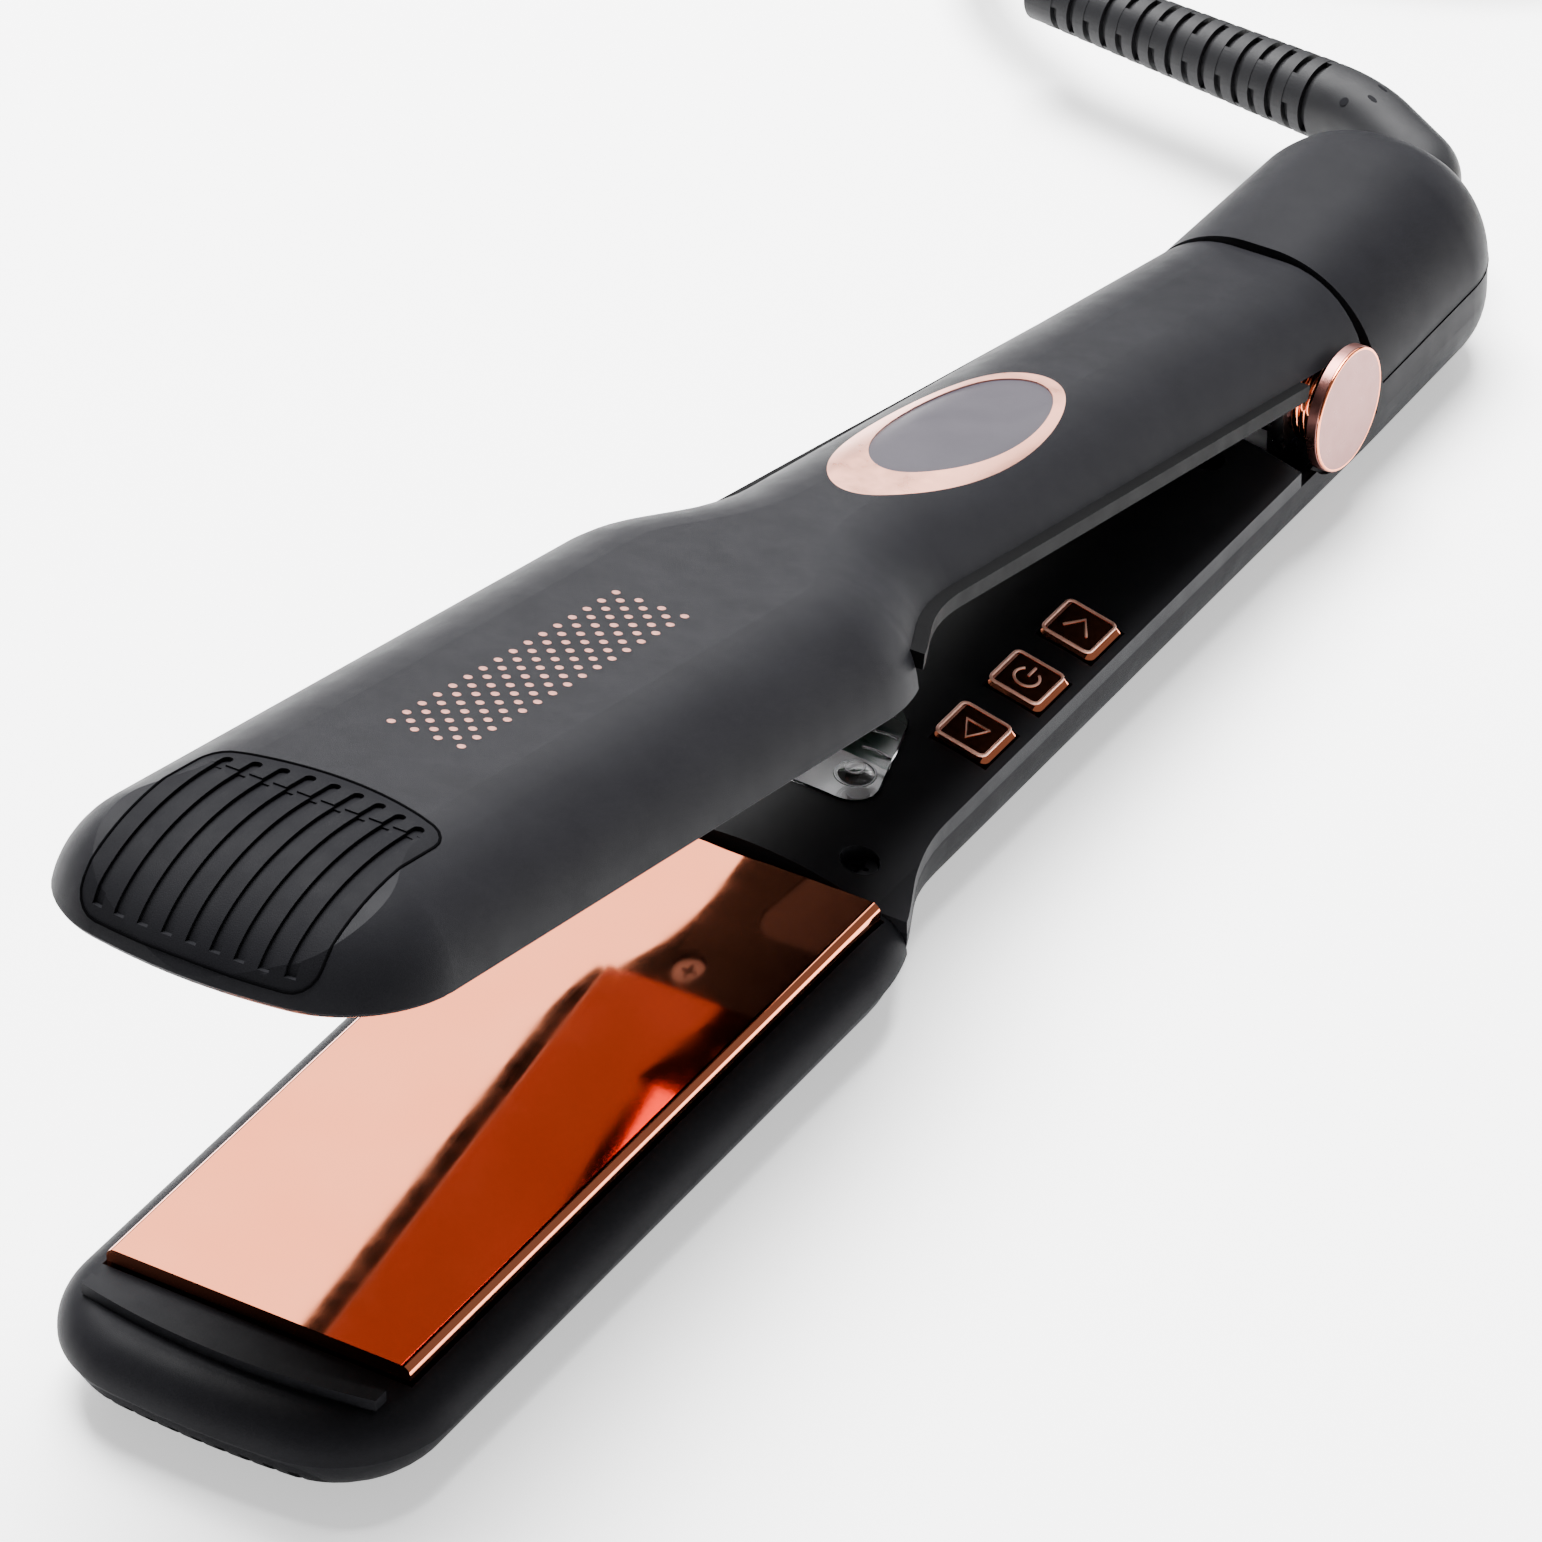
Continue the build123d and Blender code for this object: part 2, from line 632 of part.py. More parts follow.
save(screw_group(SCREW_SPOTS, 12.5, 1, 7.0), "lower_housing_screws")
save(opened(screw_group(SCREW_SPOTS, 23.6, -1, 3.2)), "upper_housing_screws")


# Heating carriages: plate, heater, clamp bar

with BuildPart() as lower_plate:
    with BuildSketch(Plane.XY.offset(PLATE_TOP - PLATE_THICK)):
        with Locations((0, PLATE_MIDDLE)):
            Rectangle(PLATE_WIDTH, PLATE_LENGTH)
    extrude(amount=PLATE_THICK)
    long_edges = lower_plate.faces().sort_by(Axis.Z)[-1].edges().filter_by(Axis.Y)
    fillet(long_edges, PLATE_BEVEL)
save(lower_plate.part, "lower_plate")
save(opened(mirrored(lower_plate.part)), "upper_plate")

with BuildPart() as lower_heater:
    with BuildSketch(Plane.XY.offset(HEATER_TOP - HEATER_THICK)):
        with Locations((0, PLATE_MIDDLE)):
            Rectangle(HEATER_WIDTH, HEATER_LONG)
    extrude(amount=HEATER_THICK)
save(lower_heater.part, "lower_heater")
save(opened(mirrored(lower_heater.part)), "upper_heater")

with BuildPart() as lower_heater_clamp:
    with BuildSketch(Plane.XY.offset(CLAMP_LOW)):
        with Locations((0, PLATE_MIDDLE)):
            SlotOverall(CLAMP_LONG, CLAMP_WIDTH, rotation=90)
    extrude(amount=CLAMP_THICK)
save(lower_heater_clamp.part, "lower_heater_clamp")
save(opened(mirrored(lower_heater_clamp.part)), "upper_heater_clamp")

with BuildPart() as lower_plate_cushions:
    with BuildSketch(Plane.XY.offset(WALL)):
        with Locations((0, PLATE_MIDDLE - CUSHION_SPREAD), (0, PLATE_MIDDLE + CUSHION_SPREAD)):
            RectangleRounded(14, 9, 2)
    extrude(amount=CLAMP_LOW - WALL)
save(lower_plate_cushions.part, "lower_plate_cushions")

with BuildPart() as upper_plate_cushions:
    with BuildSketch(Plane.XY.offset(2 * MID_Z - CLAMP_LOW)):
        with Locations((0, PLATE_MIDDLE - CUSHION_SPREAD), (0, PLATE_MIDDLE + CUSHION_SPREAD)):
            RectangleRounded(14, 9, 2)
    extrude(amount=12)
    add(upper_at(WALL), mode=Mode.INTERSECT)
save(opened(upper_plate_cushions.part), "upper_plate_cushions")

with BuildPart() as thermal_fuse:
    with BuildSketch(Plane.XZ.offset(-PLATE_MIDDLE + 6)):
        with Locations((0, CLAMP_LOW - FUSE_RADIUS)):
            Circle(FUSE_RADIUS)
    extrude(amount=-12)
save(thermal_fuse.part, "thermal_fuse")

# Keys and electronics

key_names = ("key_down", "key_power", "key_up")
for key_name, key_y in zip(key_names, KEY_YS):
    with BuildPart() as key:
        with BuildSketch(key_plane(key_y).offset(-3.2)):
            with Locations((-0.6, 0)):
                RectangleRounded(KEY_SIZE + 0.8, KEY_SIZE + 1.6, 1)
        extrude(amount=0.7)
        with BuildSketch(key_plane(key_y).offset(-2.5)):
            RectangleRounded(KEY_SIZE, KEY_SIZE, 1)
        extrude(amount=2.5 + KEY_PROUD)
        face_axis = Axis(key_plane(key_y).origin, key_plane(key_y).z_dir)
        chamfer(key.edges().group_by(face_axis)[-1], 0.7)
    save(key.part, key_name)

with BuildPart() as key_switches:
    for switch_y in KEY_YS:
        with BuildSketch(key_plane(switch_y).offset(-6.65)):
            RectangleRounded(6, 6, 0.5)
        extrude(amount=2.0)
        with BuildSketch(key_plane(switch_y).offset(-4.65)):
            Circle(1.6)
        extrude(amount=0.8)
save(key_switches.part, "key_switches")

with BuildPart() as key_board:
    with BuildSketch(key_plane(KEY_YS[1]).offset(-7.85)):
        Rectangle(9, 40)
    extrude(amount=1.2)
save(key_board.part, "key_board")

with BuildPart() as control_board:
    with BuildSketch(Plane.XY.offset(6.0)):
        with Locations((-5.5, 34)):
            Rectangle(18, 72)
    extrude(amount=1.6)
    with BuildSketch(Plane.XY.offset(7.6)):
        with Locations((-8, 12)):
            Rectangle(8, 10)
        with Locations((-6, 34)):
            Rectangle(10, 10)
        with Locations((-9, 56), (-2, 56)):
            Circle(2.6)
    extrude(amount=4)
save(control_board.part, "control_board")

with BuildPart() as clear_lens:
    add(lens_zone(0, 13.6, 17.6))
    with BuildSketch(Plane.XZ.offset(-20)):
        with Locations((0, LOWER_CROWN - CROWN_RADIUS)):
            Circle(CROWN_RADIUS + 0.3)
    extrude(amount=50, mode=Mode.INTERSECT)
    with Locations((5.6, -8.5, 15.6), (-5.6, -8.5, 15.6)):
        Sphere(2.9)
    add(between(-30, 30, 0, 13.6), mode=Mode.SUBTRACT)
save(clear_lens.part, "clear_lens")

with BuildPart() as emitter:
    with BuildSketch(Plane.XY.offset(9.0)):
        with Locations((0, -5)):
            Rectangle(16, 12)
    extrude(amount=1.2)
    with BuildSketch(Plane.XY.offset(10.2)):
        with Locations((5.6, -8.5), (-5.6, -8.5)):
            Circle(1.5)
    extrude(amount=2.6)
save(emitter.part, "emitter")

with BuildPart() as blank_insert:
    add(lens_zone(0, 19.0, 21.5))
    with BuildSketch(Plane.XZ.offset(-20)):
        with Locations((0, UPPER_CROWN + CROWN_RADIUS)):
            Circle(CROWN_RADIUS - 0.2)
    extrude(amount=50, mode=Mode.INTERSECT)
save(opened(blank_insert.part), "blank_insert")

with BuildPart() as display_board:
    with BuildSketch(Plane.XY.offset(26.2)):
        with Locations((0, WINDOW_Y)):
            Rectangle(17, 42)
    extrude(amount=1.4)
    with BuildSketch(Plane.XY.offset(27.6)):
        with Locations((0, WINDOW_Y)):
            Rectangle(11, 26)
    extrude(amount=1.6)
save(opened(display_board.part), "display_board")


# Barrel cover and tail

def barrel_form(inset):
    """The upper half of the rear barrel as a solid block with rounded top edges."""
    with BuildPart() as form:
        with BuildSketch(Plane.XY.offset(BARREL_SEAM)):
            add(arm_plan(inset))
            with Locations((0, HINGE_Y)):
                Rectangle(80, 150, mode=Mode.INTERSECT)
        extrude(amount=BARREL_TOP - inset - BARREL_SEAM)
        rim = form.faces().sort_by(Axis.Z)[-1].edges().sort_by(Axis.Y)
        fillet(rim[1:], BARREL_CORNER - inset)
        split(bisect_by=Plane.XZ.offset(-BARREL_FRONT - inset), keep=Keep.BOTTOM)
    return form.part


with BuildPart() as barrel_cover:
    add(barrel_form(0))
    add(barrel_form(WALL), mode=Mode.SUBTRACT)
    add(upright(BARREL_SCREW_SPOTS, BOSS_RADIUS, BARREL_SEAM, BARREL_TOP) & barrel_form(WALL / 2))
    add(upright(BARREL_SCREW_SPOTS, SCREW_SHANK, BARREL_SEAM - 1, BARREL_SEAM + 7), mode=Mode.SUBTRACT)
    add(cap_wells(), mode=Mode.SUBTRACT)
    with BuildSketch(Plane.XZ.offset(-TAIL_Y - 5)):
        with Locations((0, SWIVEL_Z)):
            Circle(SWIVEL_RADIUS + 0.4)
    extrude(amount=20, mode=Mode.SUBTRACT)
save(barrel_cover.part, "barrel_cover")

# Hinge: bracket with two ears, pin, knuckles, spring and caps

with BuildPart() as hinge_bracket:
    for side in (1, -1):
        ear_face = Plane(origin=(side * EAR_INNER, HINGE_Y, HINGE_Z), x_dir=(0, 1, 0), z_dir=(side, 0, 0))
        with BuildSketch(ear_face):
            Circle(6)
            with Locations((0, -side * 7.0)):
                Rectangle(12, 14)
            Circle(PIN_RADIUS, mode=Mode.SUBTRACT)
        extrude(amount=EAR_OUTER - EAR_INNER)
    with BuildSketch(Plane.XY.offset(4.0)):
        with Locations((0, HINGE_Y)):
            Rectangle(2 * EAR_OUTER, 12)
    extrude(amount=1.6)
    with BuildSketch(Plane.XY.offset(WALL)):
        with Locations((5, HINGE_Y), (-5, HINGE_Y)):
            Circle(3)
    extrude(amount=2)
save(hinge_bracket.part, "hinge_bracket")

with BuildPart() as hinge_pin:
    with BuildSketch(Plane.YZ.offset(-EAR_OUTER)):
        with Locations((HINGE_Y, HINGE_Z)):
            Circle(PIN_RADIUS)
    extrude(amount=2 * EAR_OUTER)
save(hinge_pin.part, "hinge_pin")

for side, cap_name in ((1, "hinge_cap_right"), (-1, "hinge_cap_left")):
    cap_seat = CAP_FACES[side] - CAP_THICK
    with BuildPart() as hinge_cap:
        with BuildSketch(Plane(origin=(side * EAR_OUTER, HINGE_Y, HINGE_Z), z_dir=(side, 0, 0))):
            Circle(5.0)
        extrude(amount=cap_seat - EAR_OUTER)
        with BuildSketch(Plane(origin=(side * cap_seat, HINGE_Y, HINGE_Z), z_dir=(side, 0, 0))):
            Circle(CAP_RADII[side])
        extrude(amount=CAP_THICK)
        chamfer(hinge_cap.edges().sort_by(Axis.X)[-1 if side > 0 else 0], 0.4)
    save(hinge_cap.part, cap_name)

with BuildPart() as upper_hinge_bracket:
    for side in (1, -1):
        with BuildSketch(Plane(origin=(side * KNUCKLE_INNER, HINGE_Y, HINGE_Z), x_dir=(0, 1, 0), z_dir=(side, 0, 0))):
            Circle(KNUCKLE_RADIUS)
            with Locations((-0.9, side * (STRAP_LOW - HINGE_Z) / 2)):
                Rectangle(2 * KNUCKLE_RADIUS - 1.8, STRAP_LOW - HINGE_Z)
            Circle(PIN_RADIUS + PIN_CLEARANCE, mode=Mode.SUBTRACT)
        extrude(amount=KNUCKLE_OUTER - KNUCKLE_INNER)
    with BuildSketch(Plane.XY.offset(STRAP_LOW)):
        with Locations((0, 85.0)):
            Rectangle(2 * KNUCKLE_OUTER + 2.8, 32)
        with Locations((8, 79), (-8, 79)):
            Circle(SCREW_SHANK, mode=Mode.SUBTRACT)
    extrude(amount=STRAP_THICK)
save(opened(upper_hinge_bracket.part), "upper_hinge_bracket")

with BuildPart() as hinge_spring:
    with BuildLine() as coil:
        Helix(
            pitch=SPRING_PITCH,
            height=SPRING_PITCH * SPRING_TURNS,
            radius=SPRING_RADIUS,
            center=(-SPRING_PITCH * SPRING_TURNS / 2, HINGE_Y, HINGE_Z),
            direction=(1, 0, 0),
        )
    with BuildSketch(Plane(origin=coil.line @ 0, z_dir=coil.line % 0)):
        Circle(SPRING_WIRE)
    sweep()
save(hinge_spring.part, "hinge_spring")


# Cord swivel: socket, rotor, slip rings and brushes

with BuildPart() as swivel_socket:
    with BuildSketch(Plane.XZ.offset(-SOCKET_REAR)):
        with Locations((0, SWIVEL_Z)):
            Circle(SOCKET_RADIUS)
            Circle(SWIVEL_RADIUS + PIN_CLEARANCE, mode=Mode.SUBTRACT)
    extrude(amount=SOCKET_REAR - SOCKET_FRONT)
save(swivel_socket.part, "swivel_socket")

with BuildPart() as swivel_rotor:
    flange_rear = SOCKET_FRONT - 0.3
    flange_front = flange_rear - 2.7
    stages = (
        (STUB_FRONT, flange_front, STUB_RADIUS),
        (flange_front, flange_rear, FLANGE_RADIUS),
        (flange_rear, TAIL_Y, SWIVEL_RADIUS),
    )
    for front, rear, radius in stages:
        with BuildSketch(Plane.XZ.offset(-rear)):
            with Locations((0, SWIVEL_Z)):
                Circle(radius)
        extrude(amount=rear - front)
save(swivel_rotor.part, "swivel_rotor")

with BuildPart() as slip_rings:
    for ring_y in SLIP_RING_YS:
        with BuildSketch(Plane.XZ.offset(-ring_y - 1)):
            with Locations((0, SWIVEL_Z)):
                Circle(SLIP_RING_RADIUS)
                Circle(STUB_RADIUS, mode=Mode.SUBTRACT)
        extrude(amount=2)
save(slip_rings.part, "slip_rings")

with BuildPart() as swivel_brushes:
    with BuildSketch(Plane.XY.offset(WALL)):
        with Locations((0, sum(SLIP_RING_YS) / 2)):
            Rectangle(10, 14)
    extrude(amount=4)
    with BuildSketch(Plane.XY.offset(WALL + 4)):
        with Locations(*[(0, ring_y) for ring_y in SLIP_RING_YS]):
            Rectangle(5, 1.8)
    extrude(amount=SWIVEL_Z - SLIP_RING_RADIUS - 0.3 - WALL - 4)
save(swivel_brushes.part, "swivel_brushes")

save(screw_group(BARREL_SCREW_SPOTS, 2.0, -1, 19.0), "barrel_screws")

# Boot: a smooth elbow, then a ribbed cone that tapers to the cord and holds its first stretch

BOOT_DIRECTION = Vector(*BOOT_RUN).normalized()
boot_elbow = Vector(*BOOT_ELBOW, SWIVEL_Z)
elbow_end = boot_elbow + BOOT_DIRECTION * COLLAR_LENGTH
cord_start = elbow_end + BOOT_DIRECTION * CORD_INSIDE_BOOT
boot_axis = Plane(origin=elbow_end, z_dir=BOOT_DIRECTION)

with BuildPart() as cord_boot:
    with BuildLine():
        FilletPolyline(
            (0, TAIL_Y, SWIVEL_Z),
            (0, BOOT_BEND_Y, SWIVEL_Z),
            boot_elbow,
            elbow_end,
            radius=[BOOT_BEND_RADIUS, BOOT_ELBOW_RADIUS],
        )
    with BuildSketch(Plane.XZ.offset(-TAIL_Y)):
        with Locations((0, SWIVEL_Z)):
            Circle(BOOT_RADIUS)
    sweep()
    for rib in range(RIB_COUNT):
        rib_radius = BOOT_RADIUS - (BOOT_RADIUS - BOOT_TIP_RADIUS) * rib / RIB_COUNT
        with BuildSketch(boot_axis.offset(rib * RIB_PITCH)):
            Circle(rib_radius - RIB_DEPTH)
        extrude(amount=RIB_PITCH)
        with BuildSketch(boot_axis.offset((rib + 1) * RIB_PITCH - RIB_WIDTH)):
            Circle(rib_radius)
        extrude(amount=RIB_WIDTH)
    with BuildSketch(boot_axis.offset(RIB_COUNT * RIB_PITCH)):
        Circle(BOOT_TIP_RADIUS)
    extrude(amount=RIB_PITCH)
    with BuildSketch(boot_axis.offset(CORD_INSIDE_BOOT)):
        Circle(CORD_RADIUS)
    extrude(amount=(RIB_COUNT + 1) * RIB_PITCH, mode=Mode.SUBTRACT)
save(cord_boot.part, "cord_boot")

# Power cord: out of the boot, down to the surface and round into the put-away coil

CORD_ROUTE = [
    cord_start,
    cord_start + BOOT_DIRECTION * CORD_FIRST_RUN,
    Vector(COIL_X - LEAD_TURN, CORD_TURN_Y, CORD_RADIUS),
    Vector(COIL_X - LEAD_TURN, COIL_Y, CORD_RADIUS),
]


def bend_radii(route):
    """The largest arc that each corner of a route leaves room for."""
    radii = []
    for before, corner, after in zip(route, route[1:], route[2:]):
        run_in = corner - before
        run_out = after - corner
        half_turn = radians(run_in.get_angle(run_out)) / 2
        radii.append(0.45 * min(run_in.length, run_out.length) * cos(half_turn) / sin(half_turn))
    return radii


with BuildPart() as power_cord:
    with BuildLine() as cord_line:
        FilletPolyline(*CORD_ROUTE, radius=bend_radii(CORD_ROUTE))
    with BuildSketch(Plane(origin=cord_line.line @ 0, z_dir=cord_line.line % 0)):
        Circle(CORD_RADIUS)
    sweep()
save(power_cord.part, "power_cord")

with BuildPart() as cord_coil:
    with BuildSketch(Plane.XZ.offset(-COIL_Y)):
        with Locations((COIL_X + COIL_MIDDLE, COIL_HEIGHT / 2)):
            RectangleRounded(COIL_OUTER - COIL_INNER, COIL_HEIGHT, CORD_RADIUS)
    revolve(axis=Axis((COIL_X, COIL_Y, 0), (0, 0, 1)))
save(cord_coil.part, "cord_coil")

with BuildPart() as cord_tie:
    with BuildSketch(Plane.YZ.offset(COIL_X - TIE_WIDTH / 2)):
        with Locations((COIL_Y - COIL_MIDDLE, COIL_HEIGHT / 2)):
            RectangleRounded(COIL_OUTER - COIL_INNER + 2 * TIE_THICK, COIL_HEIGHT + 2 * TIE_THICK, 4)
            RectangleRounded(COIL_OUTER - COIL_INNER, COIL_HEIGHT, CORD_RADIUS, mode=Mode.SUBTRACT)
        with Locations((COIL_Y - COIL_MIDDLE, -COIL_HEIGHT / 2)):
            Rectangle(4 * COIL_HEIGHT, COIL_HEIGHT, mode=Mode.SUBTRACT)
    extrude(amount=TIE_WIDTH)
    add(cord_coil.part, mode=Mode.SUBTRACT)
save(cord_tie.part, "cord_tie")

# Plug, lying beside the coil at the end of the cord

plug_heading = Vector(cos(radians(PLUG_ANGLE)), sin(radians(PLUG_ANGLE)), 0)
plug_aside = Vector(-plug_heading.Y, plug_heading.X, 0)
coil_exit = Vector(COIL_X, COIL_Y, COIL_HEIGHT - CORD_RADIUS) + plug_aside * LEAD_TURN
plug_entry = Vector(COIL_X, COIL_Y, PLUG_HALF_HEIGHT) + plug_aside * LEAD_TURN + plug_heading * PLUG_LEAD
plug_frame = Plane(origin=plug_entry, x_dir=(0, 0, 1), z_dir=plug_heading)

with BuildPart() as plug_lead:
    with BuildSketch(Plane(origin=coil_exit, z_dir=plug_entry - coil_exit)):
        Circle(CORD_RADIUS)
    extrude(amount=(plug_entry - coil_exit).length)
save(plug_lead.part, "plug_lead")

with BuildPart() as plug_body:
    with BuildSketch(plug_frame):
        Circle(4.6)
    with BuildSketch(plug_frame.offset(PLUG_NECK)):
        Circle(5.8)
    loft()
    with BuildSketch(plug_frame.offset(PLUG_NECK)):
        RectangleRounded(2 * PLUG_HALF_HEIGHT, 2 * PLUG_HALF_WIDTH, 5)
    extrude(amount=PLUG_LONG)
    fillet(plug_body.faces().sort_by(Axis(plug_entry, plug_heading))[-1].edges(), 1.5)
save(plug_body.part, "plug_body")

with BuildPart() as plug_blades:
    with BuildSketch(plug_frame.offset(PLUG_NECK + PLUG_LONG)):
        with Locations((0, BLADE_SPACING / 2), (0, -BLADE_SPACING / 2)):
            Rectangle(6.3, 1.5)
    extrude(amount=16)
save(plug_blades.part, "plug_blades")
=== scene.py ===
"""Flat iron: looks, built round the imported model."""

import json
import math

import bpy
from mathutils import Matrix, Vector
from mathutils.bvhtree import BVHTree

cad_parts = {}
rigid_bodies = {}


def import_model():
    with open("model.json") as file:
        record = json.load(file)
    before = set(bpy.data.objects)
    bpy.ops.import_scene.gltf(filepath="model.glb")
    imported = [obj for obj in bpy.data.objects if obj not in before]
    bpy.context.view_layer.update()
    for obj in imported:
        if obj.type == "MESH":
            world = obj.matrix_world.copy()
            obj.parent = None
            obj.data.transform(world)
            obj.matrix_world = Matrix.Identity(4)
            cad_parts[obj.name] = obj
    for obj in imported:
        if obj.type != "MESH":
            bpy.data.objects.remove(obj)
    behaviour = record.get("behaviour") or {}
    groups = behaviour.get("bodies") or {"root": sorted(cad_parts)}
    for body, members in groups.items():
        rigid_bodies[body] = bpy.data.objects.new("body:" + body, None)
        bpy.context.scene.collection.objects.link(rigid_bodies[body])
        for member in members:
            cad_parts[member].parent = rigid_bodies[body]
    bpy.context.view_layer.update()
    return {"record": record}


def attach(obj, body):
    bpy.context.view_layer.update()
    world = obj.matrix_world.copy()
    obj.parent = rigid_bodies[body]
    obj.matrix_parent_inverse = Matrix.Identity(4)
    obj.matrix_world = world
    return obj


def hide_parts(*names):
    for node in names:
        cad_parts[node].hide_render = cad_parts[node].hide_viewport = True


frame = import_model()

MM = 0.001


# ---------------------------------------------------------------- camera

# Angles in degrees, places in millimetres.
CAMERA_AZIMUTH = 32.545
CAMERA_ELEVATION = 36.028
CAMERA_ROLL = -0.941
CAMERA_DISTANCE = 1144.911
CAMERA_TARGET = (0.0, -42.5, 20.0)
CAMERA_TO_RIGHT = 12.112
CAMERA_UPWARDS = 13.292
SENSOR_WIDTH = 36.0
LENS_FRAME_WIDTHS = 9000.0 / 1542.0


def add_camera():
    """The viewpoint: from the nose, to the right of it and above, through a long lens."""
    azimuth = math.radians(CAMERA_AZIMUTH)
    elevation = math.radians(CAMERA_ELEVATION)
    roll = math.radians(CAMERA_ROLL)
    back = Vector(
        (
            math.sin(azimuth) * math.cos(elevation),
            -math.cos(azimuth) * math.cos(elevation),
            math.sin(elevation),
        )
    )
    right = Vector((math.cos(azimuth), math.sin(azimuth), 0.0))
    up = back.cross(right)
    target = Vector(CAMERA_TARGET) + right * CAMERA_TO_RIGHT + up * CAMERA_UPWARDS
    place = (target + back * CAMERA_DISTANCE) * MM
    rolled_right = right * math.cos(roll) + up * math.sin(roll)
    rolled_up = up * math.cos(roll) - right * math.sin(roll)
    data = bpy.data.cameras.new("camera")
    data.sensor_width = SENSOR_WIDTH
    data.lens = SENSOR_WIDTH * LENS_FRAME_WIDTHS
    data.clip_start = 0.01
    camera = bpy.data.objects.new("camera", data)
    axes = Matrix((rolled_right, rolled_up, back)).transposed().to_4x4()
    camera.matrix_world = Matrix.Translation(place) @ axes
    bpy.context.collection.objects.link(camera)
    bpy.context.scene.camera = camera


add_camera()


# ---------------------------------------------------------------- materials


class Nodes:
    """A material's node tree, with short calls for the nodes that the finishes share."""

    def __init__(self, name):
        self.material = bpy.data.materials.new(name)
        self.material.use_nodes = True
        self.tree = self.material.node_tree
        self.shader = self.tree.nodes["Principled BSDF"]
        self.coords = self.tree.nodes.new("ShaderNodeTexCoord").outputs["Object"]

    def link(self, source, target):
        self.tree.links.new(source, target)

    def set(self, **values):
        """Plain values for the shader, with _ for each space in a socket's name."""
        for name, value in values.items():
            self.shader.inputs[name.replace("_", " ")].default_value = value

    def noise(self, scale, detail=3.0):
        node = self.tree.nodes.new("ShaderNodeTexNoise")
        node.inputs["Scale"].default_value = scale
        node.inputs["Detail"].default_value = detail
        node.inputs["Roughness"].default_value = 0.55
        self.link(self.coords, node.inputs["Vector"])
        return node.outputs["Fac"]

    def cells(self, scale):
        node = self.tree.nodes.new("ShaderNodeTexVoronoi")
        node.inputs["Scale"].default_value = scale
        self.link(self.coords, node.inputs["Vector"])
        return node.outputs["Distance"]

    def brushing(self, scale):
        node = self.tree.nodes.new("ShaderNodeTexWave")
        node.bands_direction = "X"
        node.inputs["Scale"].default_value = scale
        node.inputs["Distortion"].default_value = 6.0
        self.link(self.coords, node.inputs["Vector"])
        return node.outputs["Fac"]

    def spread(self, value, low, high, start, end):
        """The part of a value from start to end, turned into low to high."""
        node = self.tree.nodes.new("ShaderNodeMapRange")
        node.inputs["From Min"].default_value = start
        node.inputs["From Max"].default_value = end
        node.inputs["To Min"].default_value = low
        node.inputs["To Max"].default_value = high
        self.link(value, node.inputs["Value"])
        return node.outputs["Result"]

    def colour(self, value, tints, start=0.3, end=0.7):
        """The base colour, from the first tint to the second as the value goes from start to end."""
        node = self.tree.nodes.new("ShaderNodeMix")
        node.data_type = "RGBA"
        self.link(self.spread(value, 0.0, 1.0, start, end), node.inputs["Factor"])
        node.inputs["A"].default_value = (*tints[0], 1.0)
        node.inputs["B"].default_value = (*tints[1], 1.0)
        self.link(node.outputs["Result"], self.shader.inputs["Base Color"])

    def roughen(self, scale, low, high):
        """A roughness that wanders between low and high."""
        self.link(self.spread(self.noise(scale), low, high, 0.3, 0.7), self.shader.inputs["Roughness"])

    def bump(self, height, distance):
        node = self.tree.nodes.new("ShaderNodeBump")
        node.inputs["Strength"].default_value = 1.0
        node.inputs["Distance"].default_value = distance
        self.link(height, node.inputs["Height"])
        self.link(node.outputs["Normal"], self.shader.inputs["Normal"])


def plastic(name, tints, rough, grain, **values):
    """A moulded plastic: soft cloudy colour, uneven roughness and a fine grain of a scale and depth."""
    m = Nodes(name)
    m.colour(m.noise(90.0, 4.0), tints)
    m.roughen(240.0, *rough)
    grain_scale, grain_depth = grain
    m.bump(m.noise(grain_scale, 2.0), grain_depth)
    m.set(**values)
    return m.material


def metal(name, tints, rough, brush_scale=0.0):
    """A plain metal: uneven roughness, faint colour change and, if asked, brushing."""
    m = Nodes(name)
    m.set(Metallic=1.0)
    m.colour(m.noise(80.0), tints)
    m.roughen(300.0, *rough)
    if brush_scale > 0:
        m.bump(m.brushing(brush_scale), 0.00001)
    return m.material


def rose_mirror(name, tints):
    """The polished rose-gold coating, very slightly wavy."""
    m = Nodes(name)
    m.set(Metallic=1.0)
    m.colour(m.noise(45.0, 2.0), tints, 0.35, 0.65)
    m.roughen(130.0, 0.035, 0.075)
    m.bump(m.noise(35.0, 2.0), 0.00002)
    return m.material


def rose_satin(name, tints):
    """The softer rose-gold plating of the ring and the hinge caps."""
    m = Nodes(name)
    m.set(Metallic=1.0)
    m.colour(m.noise(60.0, 2.0), tints, 0.35, 0.65)
    m.roughen(400.0, 0.26, 0.36)
    m.bump(m.noise(3000.0, 2.0), 0.00001)
    return m.material


def smoked_glass():
    """The dark window over the display."""
    m = Nodes("smoked_glass")
    m.set(Specular_IOR_Level=0.22, Coat_Weight=0.12, Coat_Roughness=0.22)
    m.colour(m.noise(50.0, 2.0), ((0.020, 0.017, 0.024), (0.027, 0.023, 0.031)), 0.35, 0.65)
    m.roughen(200.0, 0.30, 0.38)
    return m.material


